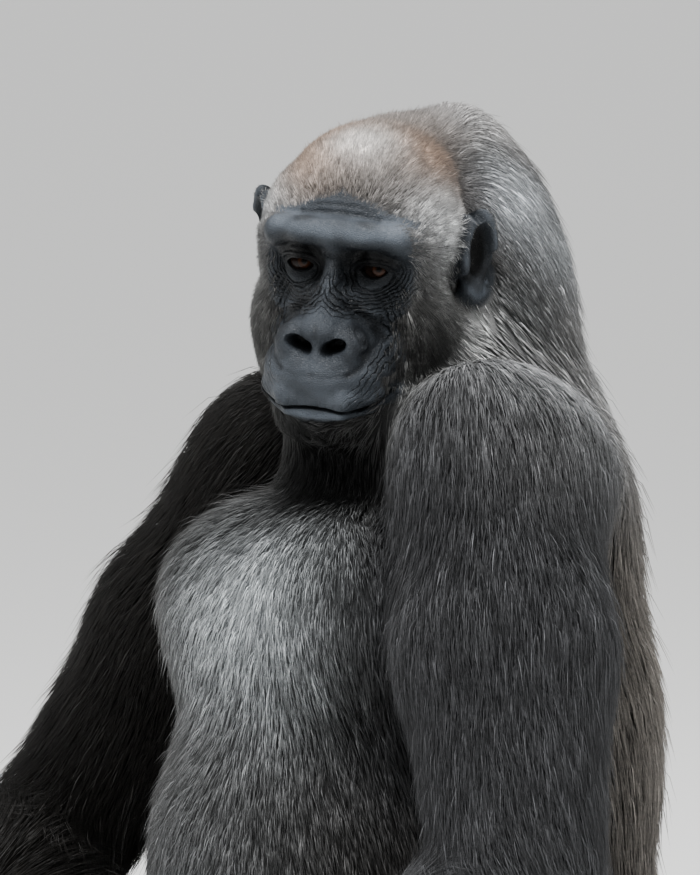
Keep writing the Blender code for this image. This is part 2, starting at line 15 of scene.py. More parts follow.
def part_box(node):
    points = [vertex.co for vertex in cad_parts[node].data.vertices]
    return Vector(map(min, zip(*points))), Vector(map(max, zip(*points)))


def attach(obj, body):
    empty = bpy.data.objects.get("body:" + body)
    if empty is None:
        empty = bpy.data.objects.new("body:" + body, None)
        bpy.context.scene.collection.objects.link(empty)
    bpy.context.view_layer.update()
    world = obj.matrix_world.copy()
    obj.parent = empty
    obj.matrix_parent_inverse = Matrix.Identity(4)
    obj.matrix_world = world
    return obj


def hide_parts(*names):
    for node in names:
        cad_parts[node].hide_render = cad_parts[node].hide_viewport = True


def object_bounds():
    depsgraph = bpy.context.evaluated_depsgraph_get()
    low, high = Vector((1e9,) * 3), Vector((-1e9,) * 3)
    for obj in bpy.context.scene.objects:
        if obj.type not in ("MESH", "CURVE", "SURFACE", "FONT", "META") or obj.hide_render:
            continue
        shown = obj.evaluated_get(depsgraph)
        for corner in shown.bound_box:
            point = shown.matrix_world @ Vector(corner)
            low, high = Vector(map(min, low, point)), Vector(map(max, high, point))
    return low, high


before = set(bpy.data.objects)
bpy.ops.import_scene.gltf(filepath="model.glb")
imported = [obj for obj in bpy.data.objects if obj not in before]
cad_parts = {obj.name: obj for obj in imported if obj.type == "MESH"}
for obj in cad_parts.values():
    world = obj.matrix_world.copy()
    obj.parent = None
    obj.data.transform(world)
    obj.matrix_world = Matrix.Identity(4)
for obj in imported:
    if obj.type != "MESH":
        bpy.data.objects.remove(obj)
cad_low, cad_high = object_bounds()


# ---------------------------------------------------------------- the studio: floor, camera and lights
# A plain pale floor runs on behind the gorilla as its backdrop. Soft lamps stand above in front, on the far
# side, and behind, where one lifts the coat's fringe off the backdrop, under a wide glow from the ceiling.
# The camera looks from the gorilla's front left with a long lens.
MM = 0.001
# The head's own frame starts between the ear canals, faces -y and is in millimetres. It is turned towards
# the left shoulder, nodded down and tilted. EYE is the left eyeball's middle; SOLID_EYE is y and z of the
# middle of the solids' eyes, which stand a little higher.
EYE = (29.2, -71.0, 5.2)
EYE_RADIUS = 12.0
SOLID_EYE = (-71.0, 9.5)
HEAD_TURN = Matrix.Rotation(math.radians(41), 3, "Z") @ Matrix.Rotation(math.radians(11), 3, "X")
HEAD_TURN = HEAD_TURN @ Matrix.Rotation(math.radians(5), 3, "Y")


def middle_of(node):
    low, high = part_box(node)
    return (Vector(low) + Vector(high)) / 2


between_eyes = (middle_of("eye_left") + middle_of("eye_right")) / 2
HEAD_AT = between_eyes - HEAD_TURN @ (Vector((0, *SOLID_EYE)) * MM)
HEAD_PLACE = Matrix.Translation(HEAD_AT) @ HEAD_TURN.to_4x4()
# The body's places are told from a spot on the floor between the hips, and STAND is where that spot lies.
HEAD_OVER_HIPS = Vector((0.0, -0.072, 0.724))
STAND = HEAD_AT - HEAD_OVER_HIPS

VIEW_ROUND = math.radians(58.5)
VIEW_ABOVE = math.radians(5.5)
VIEW_DISTANCE = 8.0
VIEW_HEIGHT = 0.665
VIEW_ASIDE = -0.076
VIEW_MIDDLE = Vector((0, 0, 0.5757))
SENSOR = 36
across = Vector((math.cos(VIEW_ROUND), math.sin(VIEW_ROUND), 0))
toward = Vector((math.sin(VIEW_ROUND), -math.cos(VIEW_ROUND), 0))
toward = toward * math.cos(VIEW_ABOVE) + Vector((0, 0, math.sin(VIEW_ABOVE)))

bpy.ops.object.camera_add()
camera = bpy.context.object
camera.name = "camera"
camera.location = STAND + across * VIEW_ASIDE + VIEW_MIDDLE + toward * VIEW_DISTANCE
camera.rotation_euler = toward.to_track_quat("Z", "Y").to_euler()
camera.data.sensor_width = SENSOR
camera.data.lens = SENSOR * VIEW_DISTANCE / VIEW_HEIGHT
camera.data.clip_end = 100
bpy.context.scene.camera = camera

bpy.ops.object.select_all(action="DESELECT")
bpy.ops.mesh.primitive_plane_add(size=60)
floor = bpy.context.object
floor.name = "floor"


def new_look(name):
    """A new material, its node tree and its shader."""
    look = bpy.data.materials.new(name)
    look.use_nodes = True
    return look, look.node_tree, look.node_tree.nodes["Principled BSDF"]


def set_inputs(node, values):
    """Sets some of a node's inputs by their names."""
    for name, value in values.items():
        node.inputs[name].default_value = value


floor_paint, tree, shader = new_look("floor_paint")
set_inputs(shader, {"Base Color": (0.80, 0.80, 0.79, 1), "Roughness": 0.9})
floor.data.materials.append(floor_paint)


def soft_light(name, place, target, size, power):
    """A square lamp that faces the gorilla."""
    bpy.ops.object.light_add(type="AREA", location=place)
    lamp = bpy.context.object
    lamp.name = name
    lamp.data.size = size
    lamp.data.energy = power
    lamp.rotation_euler = (Vector(place) - Vector(target)).to_track_quat("Z", "Y").to_euler()


soft_light("light_above", (0.9, -0.8, 3.4), (0, 0, 0.45), 0.9, 150)
soft_light("light_far_side", (-2.6, -1.2, 2.0), (0, 0, 0.50), 1.8, 14)
soft_light("light_behind", (-0.4, 2.4, 2.8), (0, 0, 0.55), 1.6, 60)
bpy.ops.object.light_add(type="SUN", location=(0, 0, 6), rotation=(math.radians(8), 0, math.radians(50)))
ceiling = bpy.context.object
ceiling.name = "light_ceiling"
ceiling.data.angle = math.radians(110)
ceiling.data.energy = 3.0
sky = bpy.data.worlds.new("studio")
bpy.context.scene.world = sky
sky.use_nodes = True
set_inputs(sky.node_tree.nodes["Background"], {"Color": (0.95, 0.98, 1.0, 1), "Strength": 0.16})


# ---------------------------------------------------------------- the skin
# One hide over the whole body, thin and supple: bare, slate-black and creased on the face, ears, hands and
# feet, and hidden under the coat elsewhere. It is grown from lumps of flesh, each a ball or a tapered limb,
# that melt into one smooth form, and it lies below the coat's outline by the coat's depth.
class Lump:
    """A ball with three radii, or a tapered limb between two points, and how softly it joins the rest."""

    def __init__(self, a, b, radii, end_radius, turn, blend, hollow):
        self.a, self.b = Vector(a), Vector(b)
        self.radii, self.end_radius = Vector(radii), end_radius
        self.turn, self.blend, self.hollow = turn, blend, hollow

    def moved(self, place):
        turn = place.to_3x3() @ self.turn
        if turn.determinant() < 0:
            turn = turn @ Matrix.Diagonal((-1, 1, 1))
        a, b = place @ self.a, place @ self.b
        return Lump(a, b, self.radii, self.end_radius, turn, self.blend, self.hollow)

    def distance(self, points):
        if self.end_radius is None:
            local = (points - np.array(self.a)) @ np.array(self.turn)
            scaled = np.linalg.norm(local / np.array(self.radii), axis=1)
            slope = np.linalg.norm(local / np.array(self.radii) ** 2, axis=1)
            return scaled * (scaled - 1) / np.maximum(slope, 1e-9)
        along = share_along(points, self.a, self.b)
        radius = self.radii.x + (self.end_radius - self.radii.x) * along
        axis = np.array(self.b - self.a)
        return np.linalg.norm(points - np.array(self.a) - along[:, None] * axis, axis=1) - radius

    def merged(self, value, points):
        other = self.distance(points)
        if self.hollow:
            share = np.clip(0.5 - 0.5 * (value + other) / self.blend, 0, 1)
            return value + (-other - value) * share + self.blend * share * (1 - share)
        share = np.clip(0.5 + 0.5 * (value - other) / self.blend, 0, 1)
        return value + (other - value) * share - self.blend * share * (1 - share)

    def reach(self):
        half = (self.b - self.a).length / 2
        return (self.a + self.b) / 2, half + max(*self.radii, self.end_radius or 0) + self.blend


def share_along(points, a, b):
    """How far along the line from a to b each point lies, from 0 to 1."""
    a, axis = np.array(a), np.array(b) - np.array(a)
    return np.clip((points - a) @ axis / (axis @ axis), 0, 1)


def path_gap(points, path):
    """Distance from each point to a path through some places."""
    gaps = []
    for a, b in zip(path, path[1:]):
        along = share_along(points, a, b)[:, None]
        gaps.append(np.linalg.norm(points - np.array(a) - along * np.array(b - a), axis=1))
    return np.min(gaps, axis=0)


def ball(centre, radii, turn=(0, 0, 0), blend=0.03, hollow=False):
    rotation = Euler([math.radians(t) for t in turn]).to_matrix()
    return Lump(centre, centre, radii, None, rotation, blend, hollow)


def chain(points, radii, blend):
    """Limbs end to end through points, one radius for each point."""
    ends = zip(points, points[1:], radii, radii[1:])
    same = Matrix.Identity(3)
    return [Lump(a, b, (start,) * 3, end, same, blend, False) for a, b, start, end in ends]


def moved(lumps, place):
    return [lump.moved(place) for lump in lumps]


MIRROR = Matrix.Diagonal((-1, 1, 1, 1))


def both(lumps):
    return lumps + moved(lumps, MIRROR)


def on_side(place, side):
    """A place of the left side, mirrored to the right one where the side is -1."""
    return Vector((place[0] * side, place[1], place[2]))


SHOULDER = {1: Vector((0.138, -0.048, 0.568)), -1: Vector((-0.138, -0.058, 0.548))}
# The headings of each upper arm and forearm, which arm_joints brings to their lengths.
ARM_REACH = {
    1: (Vector((0.170, -0.085, -0.290)), Vector((-0.090, -0.206, -0.172))),
    -1: (Vector((-0.162, -0.102, -0.285)), Vector((0.085, -0.206, -0.155))),
}
UPPER_ARM_LENGTH, FOREARM_LENGTH = 0.350, 0.285
ARM_RADII = {1: (0.078, 0.082, 0.066), -1: (0.076, 0.075, 0.063)}
HIP = Vector((0.090, 0.030, 0.125))
KNEE = Vector((0.284, -0.150, 0.090))
ANKLE = Vector((0.100, -0.262, 0.054))
FINGER_SPREAD = 0.0225
FINGER_LENGTHS = (0.088, 0.104, 0.100, 0.084)
TOE_LENGTHS = (0.046, 0.048, 0.045, 0.040)


def arm_joints(side):
    upper, lower = ARM_REACH[side]
    elbow = SHOULDER[side] + upper.normalized() * UPPER_ARM_LENGTH
    return SHOULDER[side], elbow, elbow + lower.normalized() * FOREARM_LENGTH


def hand_place(side):
    turn = Euler((math.radians(24), 0, math.radians(-12))).to_matrix().to_4x4()
    if side < 0:
        turn = MIRROR @ turn
    return Matrix.Translation(arm_joints(side)[2]) @ turn


def foot_place(side):
    turn = Euler((math.radians(-4), math.radians(52), math.radians(2))).to_matrix().to_4x4()
    place = Matrix.Translation(ANKLE) @ turn
    return place if side > 0 else MIRROR @ place


def digit(base, heading, lengths, radius, curl):
    """The joints of a finger or toe, each bent down by curl degrees from the one before, and their radii."""
    points, bend = [Vector(base)], 0.0
    for length in lengths:
        bend += math.radians(curl)
        step = Vector((math.sin(heading), -math.cos(heading) * math.cos(bend), -math.sin(bend)))
        points.append(points[-1] + step * length)
    return points, [radius * (1 - 0.07 * n) for n in range(len(points))]


def fingers():
    """The four fingers and the thumb of a left hand, in its own frame."""
    found = []
    for n, length in enumerate(FINGER_LENGTHS):
        side = (n - 1.5) * FINGER_SPREAD
        base = (side, -0.092 - 0.004 * (n in (1, 2)), 0.002)
        found.append(digit(base, side * 1.6, (length * 0.46, length * 0.32, length * 0.22), 0.0120, 8))
    return found + [digit((-0.036, -0.040, -0.004), -0.75, (0.032, 0.026), 0.0120, 8)]


def toes():
    """The four toes and the great toe of a left foot, in its own frame."""
    found = []
    for n, length in enumerate(TOE_LENGTHS):
        base = (-0.018 + n * 0.0205, -0.116 + 0.004 * n, -0.036)
        found.append(digit(base, (n - 1) * 0.07, (length * 0.55, length * 0.45), 0.0108, 9))
    return found + [digit((-0.024, -0.050, -0.036), -0.62, (0.034, 0.028, 0.020), 0.0142, 5)]


def trunk_flesh():
    middle = [
        ball((0, 0.050, 0.140), (0.165, 0.130, 0.150), blend=0.05),
        ball((0, -0.075, 0.258), (0.175, 0.168, 0.175), blend=0.05),
        ball((0, 0.040, 0.340), (0.165, 0.118, 0.200), blend=0.05),
        ball((0, -0.045, 0.420), (0.165, 0.170, 0.150), blend=0.05),
        ball((0, 0.038, 0.520), (0.150, 0.098, 0.110), blend=0.05),
    ]
    sides = [
        ball((0.085, 0.060, 0.082), (0.092, 0.100, 0.092), blend=0.04),
        ball((0.068, -0.145, 0.450), (0.085, 0.058, 0.075), blend=0.04),
    ]
    shoulder_blades = [
        ball((0.090, 0.000, 0.552), (0.085, 0.075, 0.060), blend=0.04),
        ball((-0.090, 0.000, 0.525), (0.085, 0.075, 0.060), blend=0.04),
    ]
    return middle + both(sides) + shoulder_blades


def neck_flesh():
    nape = [(-0.028, 0.019, 0.784), (-0.020, 0.033, 0.735), (-0.012, 0.036, 0.680), (0, 0.024, 0.605)]
    side = [(-0.060, 0.030, 0.758), (-0.062, 0.040, 0.715), (-0.046, 0.040, 0.660), (-0.030, 0.030, 0.600)]
    thickness = [0.045, 0.052, 0.062, 0.092]
    throat = chain([(0.010, -0.075, 0.650), (0, -0.055, 0.560)], [0.064, 0.085], 0.024)
    behind_far_ear = [ball((-0.048, -0.042, 0.708), (0.038, 0.050, 0.055), blend=0.04)]
    return chain(nape, thickness, 0.045) + chain(side, thickness, 0.045) + throat + behind_far_ear


def arm_flesh(side):
    shoulder, elbow, wrist = arm_joints(side)
    upper = [shoulder, shoulder.lerp(elbow, 0.45), elbow]
    return [
        ball(shoulder + Vector((0.006 * side, 0.008, -0.012)), (0.082, 0.082, 0.084), blend=0.04),
        *chain(upper, ARM_RADII[side], blend=0.03),
        *chain([elbow, elbow.lerp(wrist, 0.25), wrist], [0.062, 0.059, 0.041], blend=0.018),
    ]


def hand_flesh():
    lumps = [
        *chain([(0, 0.010, 0), (0, -0.030, 0)], [0.033, 0.030], blend=0.02),
        ball((0.001, -0.060, -0.001), (0.048, 0.052, 0.023), blend=0.02),
        ball((-0.022, -0.035, -0.006), (0.022, 0.034, 0.018), blend=0.015),
    ]
    for points, radii in fingers():
        lumps += chain(points, radii, blend=0.004)
    return lumps


def leg_flesh():
    calf = KNEE.lerp(ANKLE, 0.35) + Vector((0, 0.012, 0.004))
    return [
        *chain([HIP, HIP.lerp(KNEE, 0.5), KNEE], [0.103, 0.088, 0.063], blend=0.04),
        *chain([KNEE, calf, ANKLE], [0.060, 0.055, 0.038], blend=0.02),
    ]


def foot_flesh():
    lumps = [
        *chain([(0, 0.005, 0.010), (0, 0.012, -0.020)], [0.036, 0.032], blend=0.02),
        ball((0, 0.034, -0.024), (0.031, 0.034, 0.030), blend=0.02),
        ball((0.004, -0.035, -0.026), (0.038, 0.075, 0.027), blend=0.02),
        ball((0.010, -0.092, -0.034), (0.042, 0.034, 0.019), blend=0.015),
    ]
    for points, radii in toes():
        lumps += chain(points, radii, blend=0.004)
    return lumps


def egg(centre, radii, turn=(0, 0, 0), blend=14.0, hollow=False):
    """A ball of the head, in millimetres."""
    return ball(Vector(centre) * MM, Vector(radii) * MM, turn, blend * MM, hollow)


def bar(points, radii, blend=10.0):
    """A run of limbs of the head, in millimetres."""
    return chain([Vector(p) * MM for p in points], [r * MM for r in radii], blend * MM)


def skull_flesh():
    return [
        egg((0, 4, 42), (65, 84, 54), blend=16),
        egg((2, 68, 46), (44, 42, 42), blend=18),
        egg((0, -44, 8), (54, 40, 42), blend=14),
        egg((0, -52, 32), (50, 36, 26), blend=12),
        egg((0, -34, -80), (54, 52, 36), blend=20),
        *both([
            egg((54, -20, 22), (22, 46, 38), blend=16),
            egg((54, -38, -46), (25, 40, 44), blend=16),
            egg((62, 6, -58), (17, 26, 26), blend=16),
            *bar([(28, -86, -110), (62, -14, -66)], [20, 23], blend=14),
        ]),
    ]


def muzzle_flesh():
    """The face between the eyes and mouth, the long upper lip, the lower lip and the chin."""
    upper_lip = [(-43, -112, -82), (-22, -133, -82), (22, -133, -82), (43, -112, -82)]
    lower_lip = [(-39, -112, -92), (-19, -128, -94.5), (19, -128, -94.5), (39, -112, -92)]
    return [
        egg((0, -68, -28), (42, 44, 42), blend=14),
        egg((0, -98, -66), (50, 45.5, 30), blend=14),
        egg((0, -95, -98), (43, 43, 14), blend=5),
        *bar(upper_lip, [6, 6.5, 6.5, 6], blend=8),
        *bar(lower_lip, [4.5, 6, 6, 4.5], blend=3),
        egg((0, -86, -112), (36, 37, 19), blend=12),
    ]


def nose_flesh():
    """A low ridge from between the eyes, the tip, the two padded wings and the sills of the nostrils."""
    return [
        *bar([(0, -79, 24), (0, -89, -2), (0, -104, -20)], [12, 15, 17], blend=12),
        egg((0, -122, -31), (16, 14, 11), blend=7),
        *both([
            egg((20.5, -116, -42), (16.5, 20, 17.5), (0, 0, 22), blend=5),
            *bar([(0, -130, -54), (14, -129, -55), (26, -121, -50)], [5, 5.5, 5.5], blend=6),
        ]),
        *bar([(0, -127, -34), (0, -131, -50)], [4, 3.5], blend=4),
    ]


def brow_flesh():
    """One heavy bar over both eyes, and the outer rims of the orbits."""
    return both([
        *bar([(0, -92, 36), (24, -92, 36), (46, -80, 31), (60, -61, 20)], [9.5, 10, 10.5, 10], blend=8),
        *bar([(57, -62, 22), (57, -57, 0), (46, -66, -18)], [10, 11, 14], blend=12),
    ])


def face_hollows():
    """The orbits, and the dips that the nostrils start in."""
    return both([
        egg((28, -101, 9), (22, 25, 15), (0, 4, 0), blend=7, hollow=True),
        egg((13.5, -145, -42), (15, 13, 10), (0, -25, 0), blend=5, hollow=True),
    ])


def lids():
    """The lids over each eyeball, and their soft folds above and below."""
    return both([
        egg(EYE, (EYE_RADIUS + 2.2,) * 3, blend=8),
        *bar([(16, -82, 12), (29, -86, 17.5), (43, -77, 13)], [4, 4.5, 4], blend=6),
        *bar([(17, -82, -5), (29, -84, -9), (43, -75, -5)], [4, 4.5, 4], blend=8),
    ])


EAR_AT = (81.5, 6.0, 2.0)
# The ears face out and 36 degrees forwards; these are that angle's cosine and sine.
EAR_OUT, EAR_FORWARD = 0.81, 0.59


def ear_point(out, back, up):
    """A point of the ear's own frame: out of its hollow face, towards its back edge, and up."""
    x = EAR_AT[0] + EAR_OUT * out + EAR_FORWARD * back
    y = EAR_AT[1] - EAR_FORWARD * out + EAR_OUT * back
    return x, y, EAR_AT[2] + up


def ear_flesh():
    """A thin upright shell with a rolled rim, a deep bowl in front, the ridge behind that, and a lobe."""
    turn = (0, 8, -36)
    rim = []
    for angle in (195, 170, 150, 130, 110, 90, 70, 50, 30, 5, -20, -40):
        x, y = math.cos(math.radians(angle)), math.sin(math.radians(angle))
        back, up = 13.5 * math.copysign(abs(x) ** 0.75, x), 31 * math.copysign(abs(y) ** 0.85, y)
        rim.append(ear_point(4.5, back, up))
    ridge = [ear_point(0, 5, 18), ear_point(1, 8, 6), ear_point(1, 7, -8), ear_point(1, 2, -18)]
    return both([
        egg(EAR_AT, (7, 15.5, 34), turn, blend=4),
        egg(ear_point(0, 1, 13), (6.5, 16, 20), turn, blend=4),
        egg(ear_point(13, -0.5, 4), (15, 12.5, 26.5), turn, blend=2.5, hollow=True),
        egg(ear_point(16, -6, -3), (21, 7, 12), turn, blend=2.5, hollow=True),
        *bar(rim, [3.2, 3.8, 4.4, 4.9, 5.1, 5.1, 5.0, 4.8, 4.4, 3.9, 3.4, 3.2], blend=2),
        *bar(ridge, [1.4, 1.9, 1.9, 1.4], blend=3.5),
        egg(ear_point(2, -3, -29), (5, 8, 8), turn, blend=9),
        egg(ear_point(3, -13, -5), (3.5, 4, 7), turn, blend=6),
    ])


def all_flesh():
    """The body's lumps, first to last as they melt together, and then the head's."""
    lumps = trunk_flesh()
    for side in (1, -1):
        leg = leg_flesh() if side > 0 else moved(leg_flesh(), MIRROR)
        lumps += leg + moved(foot_flesh(), foot_place(side))
    lumps += neck_flesh()
    for side in (1, -1):
        lumps += arm_flesh(side) + moved(hand_flesh(), hand_place(side))
    head = skull_flesh() + muzzle_flesh() + nose_flesh() + brow_flesh()
    head += face_hollows() + lids() + ear_flesh()
    return moved(lumps, Matrix.Translation(STAND)) + moved(head, HEAD_PLACE)


def soft_step(value, start, end):
    share = np.clip((value - start) / (end - start), 0, 1)
    return share * share * (3 - 2 * share)


def in_head(points):
    """The points in the head's frame, in millimetres."""
    return (points - np.array(HEAD_AT)) @ np.array(HEAD_TURN) / MM


# How far the bare face reaches to each side at each height of the head's frame, in millimetres.
FACE_HEIGHTS = (-150, -101, -97, -92, -84, -60, -35, -10, 12, 30, 42, 48, 56, 61, 100)
FACE_WIDTHS = (-60, 0, 24, 40, 48, 49, 45, 50, 55, 57, 51, 32, 17, 0, -60)


def face_depth(head):
    """Signed distance inwards from the edge of the bare face, in millimetres."""
    edge = np.interp(head[:, 2], FACE_HEIGHTS, FACE_WIDTHS) - np.abs(head[:, 0])
    return np.minimum(edge, -22 - head[:, 1])


def from_spot(points, spots):
    """Distance to the nearest of some (centre, radius) balls."""
    return np.min([np.linalg.norm(points - np.array(at), axis=1) - radius for at, radius in spots], axis=0)


BARE_SPOTS = []
for side in (1, -1):
    place = Matrix.Translation(STAND)
    BARE_SPOTS.append((place @ hand_place(side) @ Vector((0, -0.120, -0.004)), 0.075))
    BARE_SPOTS.append((place @ foot_place(side) @ Vector((0, -0.080, -0.030)), 0.065))


def in_ear(points):
    """The points in the frame of the ear on their side: out, to its back edge and up, in millimetres."""
    head = in_head(points)
    x, y, z = np.abs(head[:, 0]) - EAR_AT[0], head[:, 1] - EAR_AT[1], head[:, 2] - EAR_AT[2]
    return np.column_stack([EAR_OUT * x - EAR_FORWARD * y, EAR_FORWARD * x + EAR_OUT * y, z])


def from_ear(points):
    """Distance outside the egg that holds each ear, in metres."""
    return (np.linalg.norm(in_ear(points) / (13, 19, 38), axis=1) - 1) * 0.013


def coat_depth(points):
    """How far the skin lies below the coat: 3 to 6 mm on the head, up to 14 on the body, 0 where bare."""
    head = in_head(points)
    from_head = np.linalg.norm(points - np.array(HEAD_AT), axis=1)
    beside_face, more_behind, more_on_body = 0.0030, 0.0030, 0.0080
    depth = beside_face + more_behind * soft_step(head[:, 1], -40, 20)
    depth += more_on_body * soft_step(from_head, 0.125, 0.21)
    depth *= 1 - soft_step(face_depth(head), -16, 3)
    depth *= soft_step(from_spot(points, BARE_SPOTS), 0, 0.07)
    return depth * soft_step(from_ear(points), 0, 0.006)


def nearby(lumps, points, margin=0.020):
    """(lump, indices of the points that it can reach) for each lump."""
    found = []
    for lump in lumps:
        centre, radius = lump.reach()
        gap = np.linalg.norm(points - np.array(centre), axis=1) - radius
        found.append((lump, np.nonzero(gap < margin)[0]))
    return found


def field(near, points):
    """Signed distance to the blended form, for points near its surface."""
    value = np.ones(len(points))
    for lump, at in near:
        value[at] = lump.merged(value[at], points[at])
    return value


def read(items, name, width=3, kind=float):
    """One property of every vertex, edge or triangle, a row for each."""
    values = np.empty(len(items) * width, kind)
    items.foreach_get(name, values)
    return values.reshape(-1, width)


def corners_of(mesh):
    return read(mesh.vertices, "co")


def eased(points, edges, amount):
    """The points moved towards the mean of their neighbours."""
    count = np.maximum(np.bincount(edges.ravel(), minlength=len(points)), 1)[:, None]
    total = np.zeros_like(points)
    for axis in range(3):
        total[:, axis] = np.bincount(edges[:, 0], points[edges[:, 1], axis], len(points))
        total[:, axis] += np.bincount(edges[:, 1], points[edges[:, 0], axis], len(points))
    return points + amount * (total / count - points)


def press(mesh, lumps, chosen=None, rounds=6, ease=4, most=0.004, step=0.0003):
    """Moves vertices along the form's slope until they lie below the coat, eased in the first rounds."""
    every = corners_of(mesh)
    edges = read(mesh.edges, "vertices", 2, int)
    at = np.arange(len(every)) if chosen is None else np.nonzero(chosen)[0]
    near = nearby(lumps, every[at])
    for turn in range(rounds):
        points = every[at]
        value = field(near, points)
        slope = np.stack([field(near, points + step * axis) - value for axis in np.eye(3)], 1) / step
        size = np.maximum((slope**2).sum(1), 0.05)
        value += coat_depth(points)
        every[at] = points - slope * np.clip(value / size, -most, most)[:, None]
        if turn < ease:
            every[at] = eased(every, edges, 0.5)[at]
    mesh.vertices.foreach_set("co", every.ravel())
    mesh.update()


def refine(obj, chosen):
    """Splits every edge between two chosen vertices in half."""
    shape = bmesh.new()
    shape.from_mesh(obj.data)
    shape.verts.ensure_lookup_table()
    edges = [edge for edge in shape.edges if chosen[edge.verts[0].index] and chosen[edge.verts[1].index]]
    bmesh.ops.subdivide_edges(shape, edges=edges, cuts=1, use_grid_fill=True)
    bmesh.ops.triangulate(shape, faces=[face for face in shape.faces if len(face.verts) > 4])
    shape.to_mesh(obj.data)
    shape.free()


def mesh_from(shape, name):
    """Turns a bmesh into a mesh, and frees it."""
    mesh = bpy.data.meshes.new(name)
    shape.to_mesh(mesh)
    shape.free()
    return mesh


def add_object(mesh):
    """A new object in the scene with the mesh's name."""
    thing = bpy.data.objects.new(mesh.name, mesh)
    bpy.context.scene.collection.objects.link(thing)
    return thing


def strung_lumps(lumps):
    """The lumps' own balls as one mesh of overlapping shells."""
    shape = bmesh.new()
    for lump in lumps:
        if lump.hollow:
            continue
        if lump.end_radius is None:
            place = Matrix.Translation(lump.a) @ lump.turn.to_4x4() @ Matrix.Diagonal((*lump.radii, 1))
            bmesh.ops.create_icosphere(shape, subdivisions=3, radius=1, matrix=place)
            continue
        count = max(2, math.ceil((lump.b - lump.a).length / (min(lump.radii.x, lump.end_radius) * 0.4)) + 1)
        for n in range(count):
            share = n / (count - 1)
            radius = lump.radii.x + (lump.end_radius - lump.radii.x) * share
            place = Matrix.Translation(lump.a.lerp(lump.b, share))
            bmesh.ops.create_icosphere(shape, subdivisions=2, radius=radius, matrix=place)
    return mesh_from(shape, "skin")


SKIN_VOXEL = 0.0085
flesh = all_flesh()
skin = add_object(strung_lumps(flesh))
bpy.ops.object.select_all(action="DESELECT")
bpy.context.view_layer.objects.active = skin
skin.select_set(True)
melt = skin.modifiers.new("melt", "REMESH")
melt.mode = "VOXEL"
melt.voxel_size = SKIN_VOXEL
bpy.ops.object.modifier_apply(modifier=melt.name)
press(skin.data, flesh, rounds=5, ease=3)


# How far from the head's middle the skin is split finer, and pressed again after that, in metres.
SPLIT_REACH, PRESS_REACH = 0.178, 0.183


def head_parts(points):
    """Which vertices lie on the head's front half, near the face, on it, and round its openings."""
    head = in_head(points)
    near_head = (np.linalg.norm(points - np.array(HEAD_AT), axis=1) < SPLIT_REACH) & (head[:, 1] < 10)
    whole = near_head & (face_depth(head) > -34)
    front = whole & (face_depth(head) > -12)
    near_mouth = np.abs(head[:, 2] + 88) < 8
    face = front & (face_depth(head) > -3) & (head[:, 1] < -46) & ((head[:, 2] > -66) | near_mouth)
    eyes = np.hypot(np.abs(head[:, 0]) - EYE[0], head[:, 2] - EYE[2]) < 15
    nostrils = np.hypot(np.abs(head[:, 0]) - 13, head[:, 2] + 42) < 13
    mouth = (np.abs(head[:, 0]) < 50) & (np.abs(head[:, 2] + 88) < 4)
    return whole, front, face, face & (eyes | nostrils | mouth)


for level in range(4):
    points = corners_of(skin.data)
    ears = from_ear(points) < 0.006
    digits = (from_spot(points, BARE_SPOTS) < 0.010) & (level == 0)
    whole, front, face, finest = head_parts(points)
    refine(skin, (whole | ears | digits, front | ears, face, finest)[level])
    points = corners_of(skin.data)
    chosen = np.linalg.norm(points - np.array(HEAD_AT), axis=1) < PRESS_REACH
    chosen |= (from_spot(points, BARE_SPOTS) < 0.03) & (level == 0)
    press(skin.data, flesh, chosen, rounds=3 - (level > 1), ease=1)


def stroke(points, width, depth, mirror=True):
    """A crease of the face through (x, z) points, with its width and depth, in millimetres."""
    paths = [points, [(-x, z) for x, z in points]] if mirror else [points]
    return [(np.array(path), width, depth) for path in paths]


def arc(centre, radii, start, end, wave=0.0, steps=9):
    """Points on part of an ellipse, from one angle to another in degrees, with a slight waver."""
    found = []
    for n in range(steps + 1):
        angle = math.radians(start + (end - start) * n / steps)
        size = 1 + wave * math.sin(5 * angle + 9 * wave)
        x, z = radii[0] * size * math.cos(angle), radii[1] * size * math.sin(angle)
        found.append((centre[0] + x, centre[1] + z))
    return found


